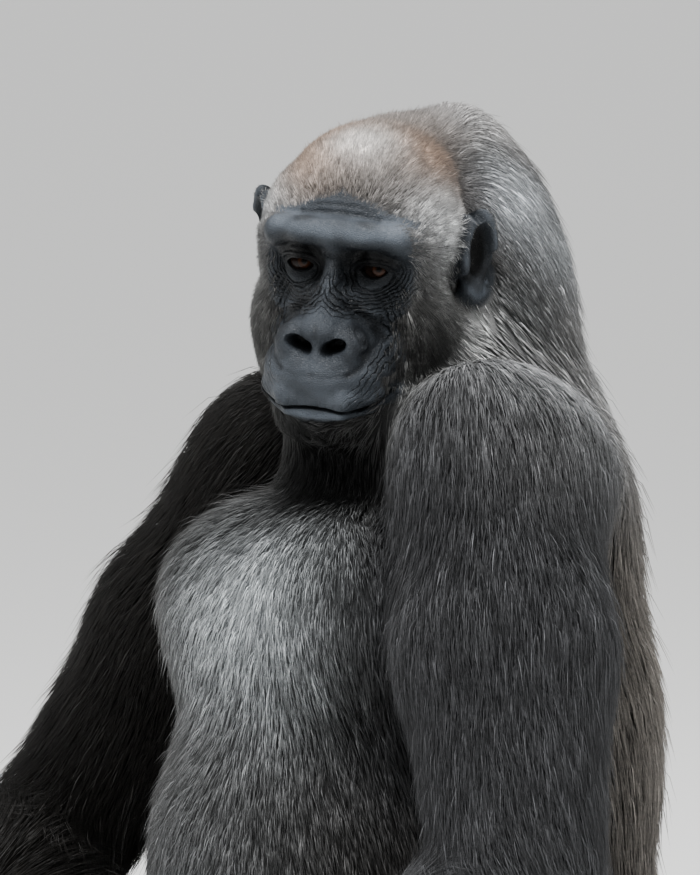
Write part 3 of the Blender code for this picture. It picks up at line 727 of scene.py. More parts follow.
def face_strokes():
    """The lines and folds of the face, from the forehead down to the chin."""
    found = []
    for n, height in enumerate((49, 54, 59, 64)):
        reach = 31 - 4 * n
        line = [(-reach, height - 3.5), (-reach * 0.5, height), (1, height + 0.8)]
        line += [(reach * 0.55, height - 0.2), (reach, height - 4)]
        found += stroke(line, 1.9, 1.1 - 0.15 * n, mirror=False)
    for n in range(7):
        size = 15.5 + 2.9 * n
        middle = (EYE[0] + 0.4 * n, EYE[2] + 1)
        lower = arc(middle, (size, size * 0.80), 186 + 4 * n, 345 - 6 * n, 0.016 * (n + 1))
        found += stroke(lower, 1.1 + 0.05 * n, 1.9 - 0.12 * n)
    for n in range(5):
        fold = [(34 + 4 * n, -9 + 1.5 * n), (39 + 3.6 * n, -17 + n), (41 + 3 * n, -27 + 1.5 * n)]
        found += stroke(fold, 1.0, 1.2)
        found += stroke([(12 + 3 * n, -9 - 3.2 * n), (19 + 4 * n, -14 - 3.6 * n)], 1.0, 1.3)
    found += stroke(arc((EYE[0], EYE[2]), (14.5, 8.8), 12, 170), 0.9, 1.1)
    found += stroke(arc((EYE[0], EYE[2] + 1), (18.5, 12.5), 20, 165), 1.2, 1.0)
    for height in (18, 12, 5, -2):
        found += stroke([(-7, height + 1), (0, height - 0.6), (7, height + 1)], 1.1, 0.4, mirror=False)
    found += stroke([(0, -26), (0, -34)], 2.0, 0.7, mirror=False)
    for n in range(1, 7):
        found += stroke([(n * 6.2 - 2, -79), (n * 6.6 - 2, -86)], 0.8, 0.3)
    cheeks_and_lips = [
        ([(9, 2), (20, -18), (36, -46)], 3.6, 1.2), ([(13, -4), (27, -24), (40, -43)], 1.5, 1.6),
        ([(19, -10), (32, -27), (45, -41)], 1.3, 1.3), ([(24, -16), (36, -28), (49, -38)], 1.2, 1.0),
        ([(4, -2), (11, -16), (16, -23)], 1.6, 0.7), ([(7, 26), (7.5, 15), (10, 4)], 1.8, 0.4),
        ([(24, -21), (35, -31), (38, -43), (35, -55), (27, -60)], 2.4, 1.4),
        ([(27, -60), (14, -62), (0, -61)], 2.4, 0.5), ([(38, -48), (45, -60), (51, -76)], 2.4, 1.5),
        ([(44, -50), (50, -62), (55, -76)], 2.0, 1.0), ([(47, -34), (55, -50), (59, -70)], 3.5, 1.0),
        ([(0, -98.5), (18, -98.5), (32, -97.5)], 2.3, 1.0), ([(46, -79), (51, -86), (50, -96)], 1.6, 0.8),
    ]
    for points, width, depth in cheeks_and_lips:
        found += stroke(points, width, depth)
    return found


def oval_gap(flat, centre, radii, tilt):
    """How far (x, z) points lie outside a tilted oval on either side of the face, in millimetres."""
    turn = math.radians(tilt)
    x, z = np.abs(flat[:, 0]) - centre[0], flat[:, 1] - centre[1]
    long = (x * math.cos(turn) + z * math.sin(turn)) / radii[0]
    short = (z * math.cos(turn) - x * math.sin(turn)) / radii[1]
    return (np.hypot(long, short) - 1) * min(radii)


def slit_gap(flat):
    """How far (x, z) points lie outside the almond between the lids, in millimetres."""
    x, z = (np.abs(flat[:, 0]) - EYE[0] + 0.5) / 10.8, flat[:, 1] - EYE[2] - 1.4
    rounded = 1 - np.abs(x) ** 2.4
    upper, lower = 5.4 * rounded, -5.2 * rounded
    return np.maximum(z - upper, lower - z)


def bell(value, middle, reach):
    """1 at the middle, falling softly to nothing at about twice the reach."""
    return np.exp(-(((value - middle) / reach) ** 2))


# The line between the lips, from the middle to the corner.
MOUTH = np.array([(0, -87.4), (10, -88.2), (22, -89.6), (34, -89.2), (43, -85.5), (50, -80)])


def carve_face(mesh):
    """Pushes the face's lines in along the skin's own slope, and its openings straight back.

    Gives back how deep the lines are at each vertex, in millimetres.
    """
    points = corners_of(mesh)
    above_floor = 0.0006
    head = in_head(points)
    at = np.nonzero((head[:, 1] < -45) & (np.abs(head[:, 0]) < 66) & (np.abs(head[:, 2] + 20) < 95))[0]
    flat = head[at][:, [0, 2]]
    front = soft_step(-head[at][:, 1], 52, 66)
    push = np.zeros(len(at))
    for path, width, depth in face_strokes():
        push += depth * bell(path_gap(flat, path), 0, width)
    slit = slit_gap(flat)
    normals = read(mesh.vertices, "normal")
    points[at] -= normals[at] * (push * front * soft_step(slit, 0, 1.5))[:, None] * MM
    nostril = oval_gap(flat, (14.5, -40.6), (9.4, 5.6), 26)
    nostril = np.minimum(nostril, oval_gap(flat, (9.0, -43.4), (5.0, 5.2), 24))
    mouth = path_gap(np.column_stack([np.abs(flat[:, 0]), flat[:, 1]]), MOUTH)
    nostril_depth, slit_depth, mouth_depth = 14, 8, 5.5
    back = nostril_depth * (1 - soft_step(nostril, -3.4, 1.2))
    back += slit_depth * (1 - soft_step(slit, -0.9, 0.3))
    back += mouth_depth * (1 - soft_step(mouth, 0.2, 2.2)) * (1 - soft_step(np.abs(flat[:, 0]), 42, 51))
    points[at] += np.array(HEAD_TURN.col[1]) * (back * front)[:, None] * MM
    points[:, 2] = np.maximum(points[:, 2], above_floor)
    mesh.vertices.foreach_set("co", points.ravel())
    mesh.update()
    depths = np.zeros(len(points))
    depths[at] = np.clip(push, 0, 2)
    return depths


line_depths = carve_face(skin.data)
skin.data.shade_smooth()


def near_spot(points, place, reach):
    """1 at a place, falling softly to nothing at about twice its reach."""
    return np.exp(-(((points - np.array(place)) ** 2).sum(1) / reach**2))


# Spots of colour, first one laid first: place in the head's frame in millimetres, reach, colour. Some of
# them are painted light and shade, as told above each. A place with x over 0 is laid on both sides, and any
# other on its own side alone.
HEAD_MARKS = [
    # Grey hair on the temples and cheeks, made paler still as painted light on the head's shaded sides.
    ((58, -28, 28), 40, (0.480, 0.495, 0.500)),
    ((60, -40, -30), 38, (0.150, 0.152, 0.148)),
    ((45, -60, -90), 40, (0.150, 0.152, 0.148)),
    ((0, 10, 92), 62, (0.235, 0.198, 0.172)),
    ((-34, -38, 80), 30, (0.320, 0.225, 0.165)),
    ((38, -2, 76), 34, (0.260, 0.180, 0.132)),
    ((4, -34, 94), 26, (0.560, 0.535, 0.510)),
    ((10, 60, 98), 34, (0.230, 0.206, 0.188)),
    ((48, 90, 76), 26, (0.480, 0.470, 0.465)),
    ((68, 60, 66), 20, (0.210, 0.216, 0.216)),
    ((90, 62, 44), 28, (0.680, 0.710, 0.750)),
    ((102, 80, 2), 34, (0.330, 0.345, 0.360)),
    ((94, 40, -44), 26, (0.150, 0.158, 0.162)),
    ((77, 12, -54), 19, (0.800, 0.810, 0.800)),
    ((73, -16, -66), 18, (0.800, 0.810, 0.800)),
    ((68, -34, -70), 11, (0.420, 0.430, 0.425)),
    ((-72, -14, -64), 22, (0.200, 0.198, 0.192)),
    # Near black on the chin's beard and the throat below it: dark hair, and painted shade under the chin.
    ((0, -92, -122), 38, (0.004, 0.004, 0.004)),
    ((10, -80, -150), 55, (0.005, 0.005, 0.005)),
]
# The same for the body, in metres from STAND, each laid on its own side alone.
BODY_MARKS = [
    ((0.00, 0.15, 0.40), 0.200, (0.220, 0.200, 0.178)),
    ((0.00, 0.12, 0.62), 0.090, (0.340, 0.342, 0.345)),
    ((-0.09, 0.01, 0.76), 0.065, (0.270, 0.262, 0.255)),
    # The top of the near shoulder: grey hair, made paler as a painted highlight where the light from above
    # falls.
    ((0.13, 0.02, 0.63), 0.060, (0.300, 0.304, 0.310)),
    ((-0.13, 0.00, 0.60), 0.060, (0.060, 0.050, 0.042)),
    # Silvery hair on the chest's middle, made paler as a painted sheen.
    ((0.03, -0.22, 0.47), 0.095, (0.620, 0.660, 0.680)),
    ((0.00, -0.26, 0.28), 0.120, (0.150, 0.155, 0.158)),
    # Painted shade under the chin and at the top of the chest beside the far arm.
    ((0.00, -0.16, 0.60), 0.060, (0.008, 0.008, 0.008)),
    ((-0.07, -0.20, 0.56), 0.075, (0.012, 0.012, 0.012)),
    # Painted shade down the side of the chest beside the near arm.
    ((0.150, -0.130, 0.49), 0.075, (0.022, 0.023, 0.025)),
    ((0.150, -0.130, 0.37), 0.070, (0.032, 0.033, 0.035)),
]
# The coat of each arm: plain black on the left, near arm, and much darker on the right, far arm, as painted
# shade on the side that the light does not reach.
ARM_COLOURS_AND_SHADE = {1: (0.050, 0.051, 0.054), -1: (0.011, 0.010, 0.009)}
SHOULDER_MARKS = [
    # The top of the near shoulder: grey hair, made paler as a painted highlight from above.
    ((0.150, 0.000, 0.650), 0.060, (0.330, 0.335, 0.340)),
    ((0.205, -0.050, 0.615), 0.045, (0.095, 0.096, 0.098)),
    ((0.180, 0.080, 0.480), 0.055, (0.110, 0.100, 0.090)),
]


# The coat's colour between the spots, and the bare skin's before the lights and darks laid on it, many of
# them painted light and shade.
PLAIN_COAT, BARE_SKIN = (0.045, 0.042, 0.040), (0.036, 0.042, 0.050)


def coat_colour_and_painted_light(points):
    """The coat's colour at each point, as linear red, green and blue, with the painted light and shade that
    some of the spots lay.
    """
    colour = np.tile(PLAIN_COAT, (len(points), 1))

    def lay(amount, paint):
        colour[:] += amount[:, None] * (np.array(paint) - colour)

    standing = points - np.array(STAND)
    for place, reach, paint in BODY_MARKS:
        lay(near_spot(standing, place, reach), paint)
    for side, paint in ARM_COLOURS_AND_SHADE.items():
        shoulder, elbow, wrist = arm_joints(side)
        for a, b in ((shoulder, elbow), (elbow, wrist)):
            lay(1 - soft_step(path_gap(standing, (a, b)), 0.078, 0.112), paint)
    for place, reach, paint in SHOULDER_MARKS:
        lay(near_spot(standing, place, reach), paint)
    head = in_head(points)
    for place, reach, paint in HEAD_MARKS:
        amount = near_spot(head, place, reach)
        if place[0] > 0:
            amount = np.maximum(amount, near_spot(head, on_side(place, -1), reach))
        lay(amount, paint)
    return colour


def put_colours(mesh, name, colour):
    """Stores one colour for each vertex."""
    layer = mesh.color_attributes.new(name, "FLOAT_COLOR", "POINT")
    layer.data.foreach_set("color", np.column_stack([colour, np.ones(len(colour))]).ravel())


def oval_patch(flat, centre, radii):
    """1 in an oval of the face's (x, z) plane, falling to nothing round it."""
    x, z = (flat[:, 0] - centre[0]) / radii[0], (flat[:, 1] - centre[1]) / radii[1]
    return np.exp(-(np.hypot(x, z) ** 4))


def hide_colours(points):
    """The skin's colour: slate-black where it is bare, with painted shade in its hollows and creases and
    painted light on the brow, lips and ear rims, and the coat's marks where it is covered.
    """
    head = in_head(points)
    bare = np.tile(BARE_SKIN, (len(points), 1))
    flat = np.column_stack([np.abs(head[:, 0]), head[:, 2]])
    # Painted highlight: the top of the brow ridge is laid paler, as if lit from above.
    painted_brow_highlight = bell(head[:, 2], 39.5, 5.5) * (1 - soft_step(flat[:, 0], 44, 62))
    painted_brow_highlight *= head[:, 1] < -40
    bare *= 1 + 1.35 * painted_brow_highlight[:, None]
    # Painted shade: the skin is laid darker where its carved lines run deep.
    bare *= np.exp(-0.5 * line_depths)[:, None]
    # Painted highlight: a pale band along the lower lip.
    lower_lip = bell(flat[:, 1], -93.5, 2.6) * soft_step(-flat[:, 0], -34, -10)
    bare *= 1 + 2.0 * lower_lip[:, None]
    chin = soft_step(-head[:, 2], 95, 99) * (head[:, 1] < -45)
    bare *= 1 - 0.85 * chin[:, None]
    # Painted shade near black in the orbits under the brow, and painted light on the long upper lip, which is
    # laid paler; below the eyes and on the nose the skin is a little darker.
    painted_orbit_shade = oval_patch(flat, (27, 14.5), (29, 18.5))
    below_eye = oval_patch(flat, (30, -8), (27, 22))
    nose_front = oval_patch(flat, (0, -38), (36, 26))
    painted_muzzle_light = oval_patch(flat, (0, -72), (46, 18)) * (head[:, 1] < -60)
    bare *= 1 - (0.95 * painted_orbit_shade)[:, None]
    bare *= 1 - (0.12 * below_eye + 0.12 * nose_front - 0.5 * painted_muzzle_light)[:, None]
    # Painted shade: near black in the nostrils and along the line between the lips.
    nostril = 1 - soft_step(oval_gap(flat, (13, -41), (9.5, 5.2), 24), -1.5, 1.8)
    mouth = bell(path_gap(flat, MOUTH), 0, 1.7)
    in_face = (head[:, 1] < -45) & (np.abs(head[:, 2] + 20) < 95)
    bare *= 1 - 0.93 * (np.maximum(nostril, mouth) * in_face)[:, None]
    # On the ears: painted shade deep in the bowl and a painted highlight along the rolled rim; the rest of
    # the ear is laid a little darker.
    out, back, up = in_ear(points).T
    across_bowl = np.hypot((back + 1.5) / 13.5, up / 30)
    painted_bowl_shade = (1 - soft_step(out, 1, 6)) * (1 - soft_step(across_bowl, 0.9, 1.05)) * (out > -9)
    rim = bell(np.hypot(back / 14, up / 32), 1, 0.14) * (out > 1) * (np.abs(head[:, 2]) < 60)
    bare *= 1 - 0.96 * painted_bowl_shade[:, None]
    bare *= 1 + 0.9 * rim[:, None]
    bare *= 1 - (0.45 * (from_ear(points) < 0.002) * (1 - rim))[:, None]
    bare *= 0.42 + 0.58 * soft_step(from_spot(points, BARE_SPOTS), 0.0, 0.06)[:, None]
    covered = soft_step(coat_depth(points), 0.0002, 0.003)[:, None]
    return bare + covered * (coat_colour_and_painted_light(points) * 0.45 - bare)


put_colours(skin.data, "hide_colour", hide_colours(corners_of(skin.data)))
covered = soft_step(coat_depth(corners_of(skin.data)), 0.0004, 0.003)
put_colours(skin.data, "covered", np.tile(covered[:, None], (1, 3)))


def fold_rings(points):
    """Distances in millimetres from the eyes and the nose, which fine folds run round, and their strength."""
    head = in_head(points)
    x, z = np.abs(head[:, 0]), head[:, 2]
    eye = np.hypot(x - EYE[0], (z - EYE[2] - 1) * 1.2)
    nose = np.hypot(x, (z + 45) * 1.05)
    front = soft_step(-head[:, 1], 46, 60) * (np.abs(z + 20) < 95)
    round_eye = soft_step(eye, 13, 17) * (1 - soft_step(eye, 30, 44)) * (1 - soft_step(z - EYE[2], -5, 9))
    round_nose = soft_step(nose, 37, 42) * (1 - soft_step(nose, 56, 68)) * soft_step(x, 20, 32)
    round_nose *= (1 - soft_step(z, -22, -8)) * (1 - round_eye) * (0.35 + 0.65 * soft_step(z, -78, -58))
    off = np.zeros(len(points))
    return np.column_stack([eye, nose, off]), np.column_stack([round_eye * front, round_nose * front, off])


def put_vectors(mesh, name, vectors):
    """Stores one vector for each vertex."""
    mesh.attributes.new(name, "FLOAT_VECTOR", "POINT").data.foreach_set("vector", vectors.ravel())


ring_distances, ring_weights = fold_rings(corners_of(skin.data))
put_vectors(skin.data, "fold_rings", ring_distances)
put_vectors(skin.data, "fold_weights", ring_weights)


def add_node(tree, kind, **settings):
    """A new node with some of its own settings."""
    node = tree.nodes.new(kind)
    for name, value in settings.items():
        setattr(node, name, value)
    return node


def noise_of(tree, position, scale, detail=3.0, roughness=0.55):
    """A noise texture on a position, and its value."""
    texture = add_node(tree, "ShaderNodeTexNoise")
    set_inputs(texture, {"Scale": scale, "Detail": detail, "Roughness": roughness})
    tree.links.new(position, texture.inputs["Vector"])
    return texture.outputs["Fac"]


def math_of(tree, operation, *values):
    """One sum on one or two numbers or outputs."""
    node = add_node(tree, "ShaderNodeMath", operation=operation)
    for socket, value in zip(node.inputs, values):
        if isinstance(value, (int, float)):
            socket.default_value = value
        else:
            tree.links.new(value, socket)
    return node.outputs[0]


def vector_math(tree, operation, vector, factors=(1, 1, 1)):
    """One sum on a vector; the factors are for a product."""
    node = add_node(tree, "ShaderNodeVectorMath", operation=operation)
    node.inputs[1].default_value = factors
    tree.links.new(vector, node.inputs[0])
    return node


def stored_value(tree, name, output):
    """What the mesh stores at each vertex under a name."""
    return add_node(tree, "ShaderNodeAttribute", attribute_name=name).outputs[output]


def ranged(tree, value, low, high, start=0.3, end=0.7):
    """A value that goes from low to high while the first one goes from start to end."""
    node = add_node(tree, "ShaderNodeMapRange")
    set_inputs(node, {"From Min": start, "From Max": end, "To Min": low, "To Max": high})
    tree.links.new(value, node.inputs["Value"])
    return node.outputs[0]


def paint_with(tree, shader, colour, amount):
    """Gives the shader a colour times an amount."""
    node = add_node(tree, "ShaderNodeVectorMath", operation="SCALE")
    tree.links.new(colour, node.inputs[0])
    tree.links.new(amount, node.inputs["Scale"])
    tree.links.new(node.outputs[0], shader.inputs["Base Color"])


def bump_with(tree, shader, height, strength, distance):
    """Gives the shader a relief, as high as a distance in metres where the height is 1."""
    bump = add_node(tree, "ShaderNodeBump")
    set_inputs(bump, {"Strength": strength, "Distance": distance})
    tree.links.new(height, bump.inputs["Height"])
    tree.links.new(bump.outputs[0], shader.inputs["Normal"])


skin_look, tree, shader = new_look("skin_look")
position = add_node(tree, "ShaderNodeTexCoord").outputs["Object"]
blotches = ranged(tree, noise_of(tree, position, 38, 5), 0.68, 1.34)
wavering = math_of(tree, "MULTIPLY", noise_of(tree, position, 85, 3), 2.6)
rings = add_node(tree, "ShaderNodeSeparateXYZ")
tree.links.new(stored_value(tree, "fold_rings", "Vector"), rings.inputs[0])
weights = add_node(tree, "ShaderNodeSeparateXYZ")
tree.links.new(stored_value(tree, "fold_weights", "Vector"), weights.inputs[0])
EYE_FOLD_SPACING, NOSE_FOLD_SPACING = 3.2, 4.2
grooves = None
for number, spacing in enumerate((EYE_FOLD_SPACING, NOSE_FOLD_SPACING)):
    phase = math_of(tree, "ADD", math_of(tree, "DIVIDE", rings.outputs[number], spacing), wavering)
    wave = math_of(tree, "ABSOLUTE", math_of(tree, "SINE", math_of(tree, "MULTIPLY", phase, math.pi)))
    flank = math_of(tree, "MINIMUM", math_of(tree, "MULTIPLY", wave, 1.6), 1.0)
    groove = math_of(tree, "SUBTRACT", 1.0, flank)
    groove = math_of(tree, "MULTIPLY", groove, weights.outputs[number])
    grooves = groove if grooves is None else math_of(tree, "MAXIMUM", grooves, groove)
# The fold grooves darken the skin's colour as well as its relief: painted shade in the creases.
lit = math_of(tree, "SUBTRACT", 1.0, math_of(tree, "MULTIPLY", grooves, 0.60))
shade = math_of(tree, "MULTIPLY", blotches, lit)
paint_with(tree, shader, stored_value(tree, "hide_colour", "Color"), shade)
shader.inputs["Specular IOR Level"].default_value = 0.18

creases = add_node(tree, "ShaderNodeTexVoronoi", feature="DISTANCE_TO_EDGE")
creases.inputs["Scale"].default_value = 400
warped = vector_math(tree, "MULTIPLY", position, (1.0, 1.0, 1.6))
tree.links.new(warped.outputs[0], creases.inputs["Vector"])
crease_depth = math_of(tree, "MINIMUM", math_of(tree, "MULTIPLY", creases.outputs["Distance"], 5.0), 1.0)
pores = noise_of(tree, position, 900, 2)
folds = noise_of(tree, position, 160, 4, 0.6)
height = math_of(tree, "MULTIPLY", crease_depth, 0.30)
height = math_of(tree, "ADD", height, math_of(tree, "MULTIPLY", pores, 0.5))
height = math_of(tree, "ADD", height, math_of(tree, "MULTIPLY", folds, 1.2))
height = math_of(tree, "SUBTRACT", height, math_of(tree, "MULTIPLY", grooves, 2.4))
bump_with(tree, shader, height, 1.0, 0.0008)

sheen = ranged(tree, folds, 0.34, 0.52)
under_coat = math_of(tree, "MULTIPLY", stored_value(tree, "covered", "Fac"), 0.9)
tree.links.new(math_of(tree, "MAXIMUM", sheen, under_coat), shader.inputs["Roughness"])

skin.data.materials.append(skin_look)
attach(skin, "root")
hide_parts(*[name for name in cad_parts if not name.startswith("eye")])


# ---------------------------------------------------------------- the eyes
# Two wet balls with a bulging front, painted with a reddish-brown iris and a small pupil. A gorilla's eye
# shows almost no white: the ball is dark brown where it meets the lids. Both look at the camera.
eye_look, tree, shader = new_look("eye_look")
in_eye = stored_value(tree, "eye_place", "Vector")
flattened = vector_math(tree, "MULTIPLY", in_eye, (1, 1, 0))
from_axis = vector_math(tree, "LENGTH", flattened.outputs[0])
rays = vector_math(tree, "NORMALIZE", flattened.outputs[0])
ray_noise = noise_of(tree, rays.outputs[0], 9, 4, 0.7)
off_middle = math_of(tree, "SUBTRACT", ray_noise, 0.5)
waver = math_of(tree, "ADD", from_axis.outputs["Value"], math_of(tree, "MULTIPLY", off_middle, 0.05))
rings = add_node(tree, "ShaderNodeValToRGB")
tree.links.new(waver, rings.inputs[0])
# Distances from the pupil's middle, as shares of the eyeball's radius, and the colour there.
bands = [(0.0, (0.001, 0.001, 0.001)), (0.135, (0.001, 0.001, 0.001)), (0.165, (0.012, 0.005, 0.003)),
         (0.27, (0.036, 0.013, 0.006)), (0.38, (0.020, 0.008, 0.004)), (0.45, (0.006, 0.004, 0.003)),
         (0.53, (0.009, 0.005, 0.004)), (0.9, (0.014, 0.009, 0.007))]
while len(rings.color_ramp.elements) < len(bands):
    rings.color_ramp.elements.new(1.0)
for stop, (at, paint) in zip(rings.color_ramp.elements, bands):
    stop.position = at
    stop.color = (*paint, 1)
streak_tone = math_of(tree, "ADD", math_of(tree, "MULTIPLY", ray_noise, 1.4), 0.35)
paint_with(tree, shader, rings.outputs["Color"], streak_tone)
set_inputs(shader, {"Roughness": 0.1, "IOR": 1.38, "Specular IOR Level": 0.2})

CORNEA_BULGE = 0.085
for side, word in ((1, "left"), (-1, "right")):
    bpy.ops.object.select_all(action="DESELECT")
    bpy.ops.mesh.primitive_uv_sphere_add(segments=64, ring_count=40, radius=1)
    eye = bpy.context.object
    eye.name = eye.data.name = f"eyeball_{word}"
    unit_points = corners_of(eye.data)
    bulge = CORNEA_BULGE * soft_step(unit_points[:, 2], 0.80, 1.0)
    middle = HEAD_PLACE @ (on_side(EYE, side) * MM)
    gaze = (camera.location - middle).to_track_quat("Z", "Y").to_matrix()
    places = (unit_points * (1 + bulge)[:, None]) * EYE_RADIUS * MM
    eye.data.vertices.foreach_set("co", (places @ np.array(gaze).T + np.array(middle)).ravel())
    put_vectors(eye.data, "eye_place", unit_points)
    eye.data.update()
    eye.data.shade_smooth()
    eye.data.materials.append(eye_look)
    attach(eye, "root")
    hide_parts(f"eye_{word}")


# ---------------------------------------------------------------- the nails
# Flat nails as on a human hand, on every finger and toe: plates of dark horn, 1.4 mm thick, arched across
# the tip and a little longer than the flesh under them.
nail_look, tree, shader = new_look("nail_look")
position = add_node(tree, "ShaderNodeTexCoord").outputs["Object"]
cloudy = noise_of(tree, position, 160, 3)
horn = add_node(tree, "ShaderNodeMix", data_type="RGBA")
set_inputs(horn, {"A": (0.020, 0.018, 0.017, 1), "B": (0.040, 0.035, 0.031, 1)})
tree.links.new(cloudy, horn.inputs["Factor"])
tree.links.new(horn.outputs["Result"], shader.inputs["Base Color"])
set_inputs(shader, {"Roughness": 0.42, "Specular IOR Level": 0.2})
bump_with(tree, shader, noise_of(tree, position, 1400, 2), 0.4, 0.0003)


def nail_plate(shape, start, end, radius):
    """Adds one arched closed plate over the end of a finger or toe, in the hand's or foot's own frame."""
    along = (end - start).normalized()
    up = (Vector((0, 0, 1)) - along * along.z).normalized()
    side = along.cross(up)
    steps, layers = 8, []
    outside, inside = 0.0006, -0.0008
    for lift in (outside, inside):
        layer = []
        for i in range(steps + 1):
            forward = (-0.85 + 1.55 * i / steps) * radius
            narrow = 1 - 0.25 * max(0.0, i / steps - 0.7) / 0.3
            arch = radius * (1 - 0.16 * max(0.0, forward / radius) ** 2) + lift
            row = []
            for j in range(steps + 1):
                angle = math.radians(-56 + 112 * j / steps) * narrow
                place = end + along * forward + (side * math.sin(angle) + up * math.cos(angle)) * arch
                row.append(shape.verts.new(place))
            layer.append(row)
        layers.append(layer)
    top, under = layers
    for i in range(steps):
        for j in range(steps):
            shape.faces.new((top[i][j], top[i][j + 1], top[i + 1][j + 1], top[i + 1][j]))
            shape.faces.new((under[i][j], under[i + 1][j], under[i + 1][j + 1], under[i][j + 1]))
    for n in range(steps):
        shape.faces.new((top[0][n], under[0][n], under[0][n + 1], top[0][n + 1]))
        shape.faces.new((top[steps][n + 1], under[steps][n + 1], under[steps][n], top[steps][n]))
        shape.faces.new((top[n][steps], under[n][steps], under[n + 1][steps], top[n + 1][steps]))
        shape.faces.new((top[n + 1][0], under[n + 1][0], under[n][0], top[n][0]))


for side, word in ((1, "left"), (-1, "right")):
    for limb, place, digits in (("hand", hand_place(side), fingers()), ("foot", foot_place(side), toes())):
        shape = bmesh.new()
        for points, radii in digits:
            plate = bmesh.new()
            nail_plate(plate, points[-2], points[-1], radii[-1])
            plate.transform(Matrix.Translation(STAND) @ place)
            lowest = min(corner.co.z for corner in plate.verts)
            foremost = min(corner.co.y for corner in plate.verts)
            lift = Vector((0, max(0.0, cad_low[1] + 0.0005 - foremost), max(0.0, 0.001 - lowest)))
            plate.transform(Matrix.Translation(lift))
            plate_mesh = mesh_from(plate, "plate")
            shape.from_mesh(plate_mesh)
            bpy.data.meshes.remove(plate_mesh)
        bmesh.ops.recalc_face_normals(shape, faces=shape.faces)
        nails = add_object(mesh_from(shape, f"nails_{limb}_{word}"))
        nails.data.shade_smooth()
        nails.data.materials.append(nail_look)
        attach(nails, "root")


# ---------------------------------------------------------------- the coat
# Coarse guard hair over the whole body but the face, the ears and the fore parts of the hands and feet:
# short on the head, long on the nape, back and limbs, shorter on the chest. It is made of tufts, each a
# tapered closed spike rooted in the skin, that lie the way a gorilla's hair does.
HEAD_LIE = [
    # place and heading in the head's frame, length of the hair and the guide's reach, all in millimetres
    ((0, -80, 55), (0, 0.5, 1.0), 8, 20), ((0, -60, 76), (0, 0.8, 0.8), 11, 24),
    ((0, -25, 94), (0, 1, 0.3), 14, 28), ((0, 30, 98), (0, 1, 0.05), 17, 30),
    ((0, 80, 86), (0, 1, -0.5), 20, 30), ((0, 108, 50), (0, 0.5, -1), 26, 34),
    ((42, -60, 52), (0.6, 0.8, 0.7), 10, 22), ((48, -20, 72), (0.4, 1, 0.2), 14, 26),
    ((60, 30, 66), (0.3, 1, -0.3), 18, 26), ((62, -32, 28), (0.3, 1, 0.1), 12, 22),
    ((70, 10, 36), (0.1, 1, -0.4), 15, 24), ((58, -42, -8), (0.2, 0.9, -0.5), 12, 22),
    ((66, -20, -22), (0.1, 0.8, -0.7), 16, 24), ((60, -42, -52), (0.2, 0.7, -0.9), 15, 24),
    ((66, -10, -64), (0.15, 0.5, -1), 28, 26), ((50, -62, -88), (0.3, 0.5, -1), 14, 24),
    ((74, 12, -56), (0.2, 0.4, -1), 27, 18), ((78, 46, -10), (0.2, 0.5, -1), 24, 30),
    ((20, -108, -106), (0.2, 0.1, -1), 10, 16), ((0, -92, -122), (0, 0, -1), 34, 26),
    ((0, -50, -120), (0, 0.1, -1), 36, 34),
]
BODY_LIE = [
    # the same for the body: place in metres from STAND, heading, length in millimetres, reach in metres
    ((0.00, 0.10, 0.72), (0.0, 0.45, -1), 38, 0.06), ((0.00, 0.13, 0.62), (0.0, 0.3, -1), 46, 0.08),
    ((0.09, 0.04, 0.71), (0.4, 0.35, -1), 30, 0.05), ((0.00, 0.16, 0.45), (0.0, 0.1, -1), 52, 0.12),
    ((0.12, 0.12, 0.45), (0.2, 0.1, -1), 50, 0.10), ((0.00, 0.19, 0.25), (0.0, 0.0, -1), 46, 0.12),
    ((0.14, 0.14, 0.20), (0.3, 0.1, -1), 46, 0.10), ((0.00, 0.22, 0.08), (0.0, -0.1, -1), 40, 0.10),
    ((0.17, 0.02, 0.36), (0.1, 0.1, -1), 46, 0.09), ((0.08, 0.05, 0.64), (0.8, 0.4, -0.6), 42, 0.06),
    ((0.15, 0.00, 0.62), (1.0, 0.1, -0.7), 46, 0.06), ((0.04, -0.12, 0.60), (0.4, -0.4, -1), 30, 0.06),
    ((0.10, -0.20, 0.50), (0.4, -0.2, -1), 30, 0.08), ((0.00, -0.23, 0.42), (-0.2, 0.0, -1), 26, 0.08),
    ((0.10, -0.20, 0.34), (0.3, 0.1, -1), 34, 0.10), ((0.00, -0.25, 0.22), (0.0, 0.1, -1), 34, 0.12),
]


def limb_joints(side):
    """The joints of the arm and those of the leg on one side, in the model's place."""
    arm = [STAND + joint for joint in arm_joints(side)]
    return arm, [STAND + on_side(joint, side) for joint in (HIP, KNEE, ANKLE)]


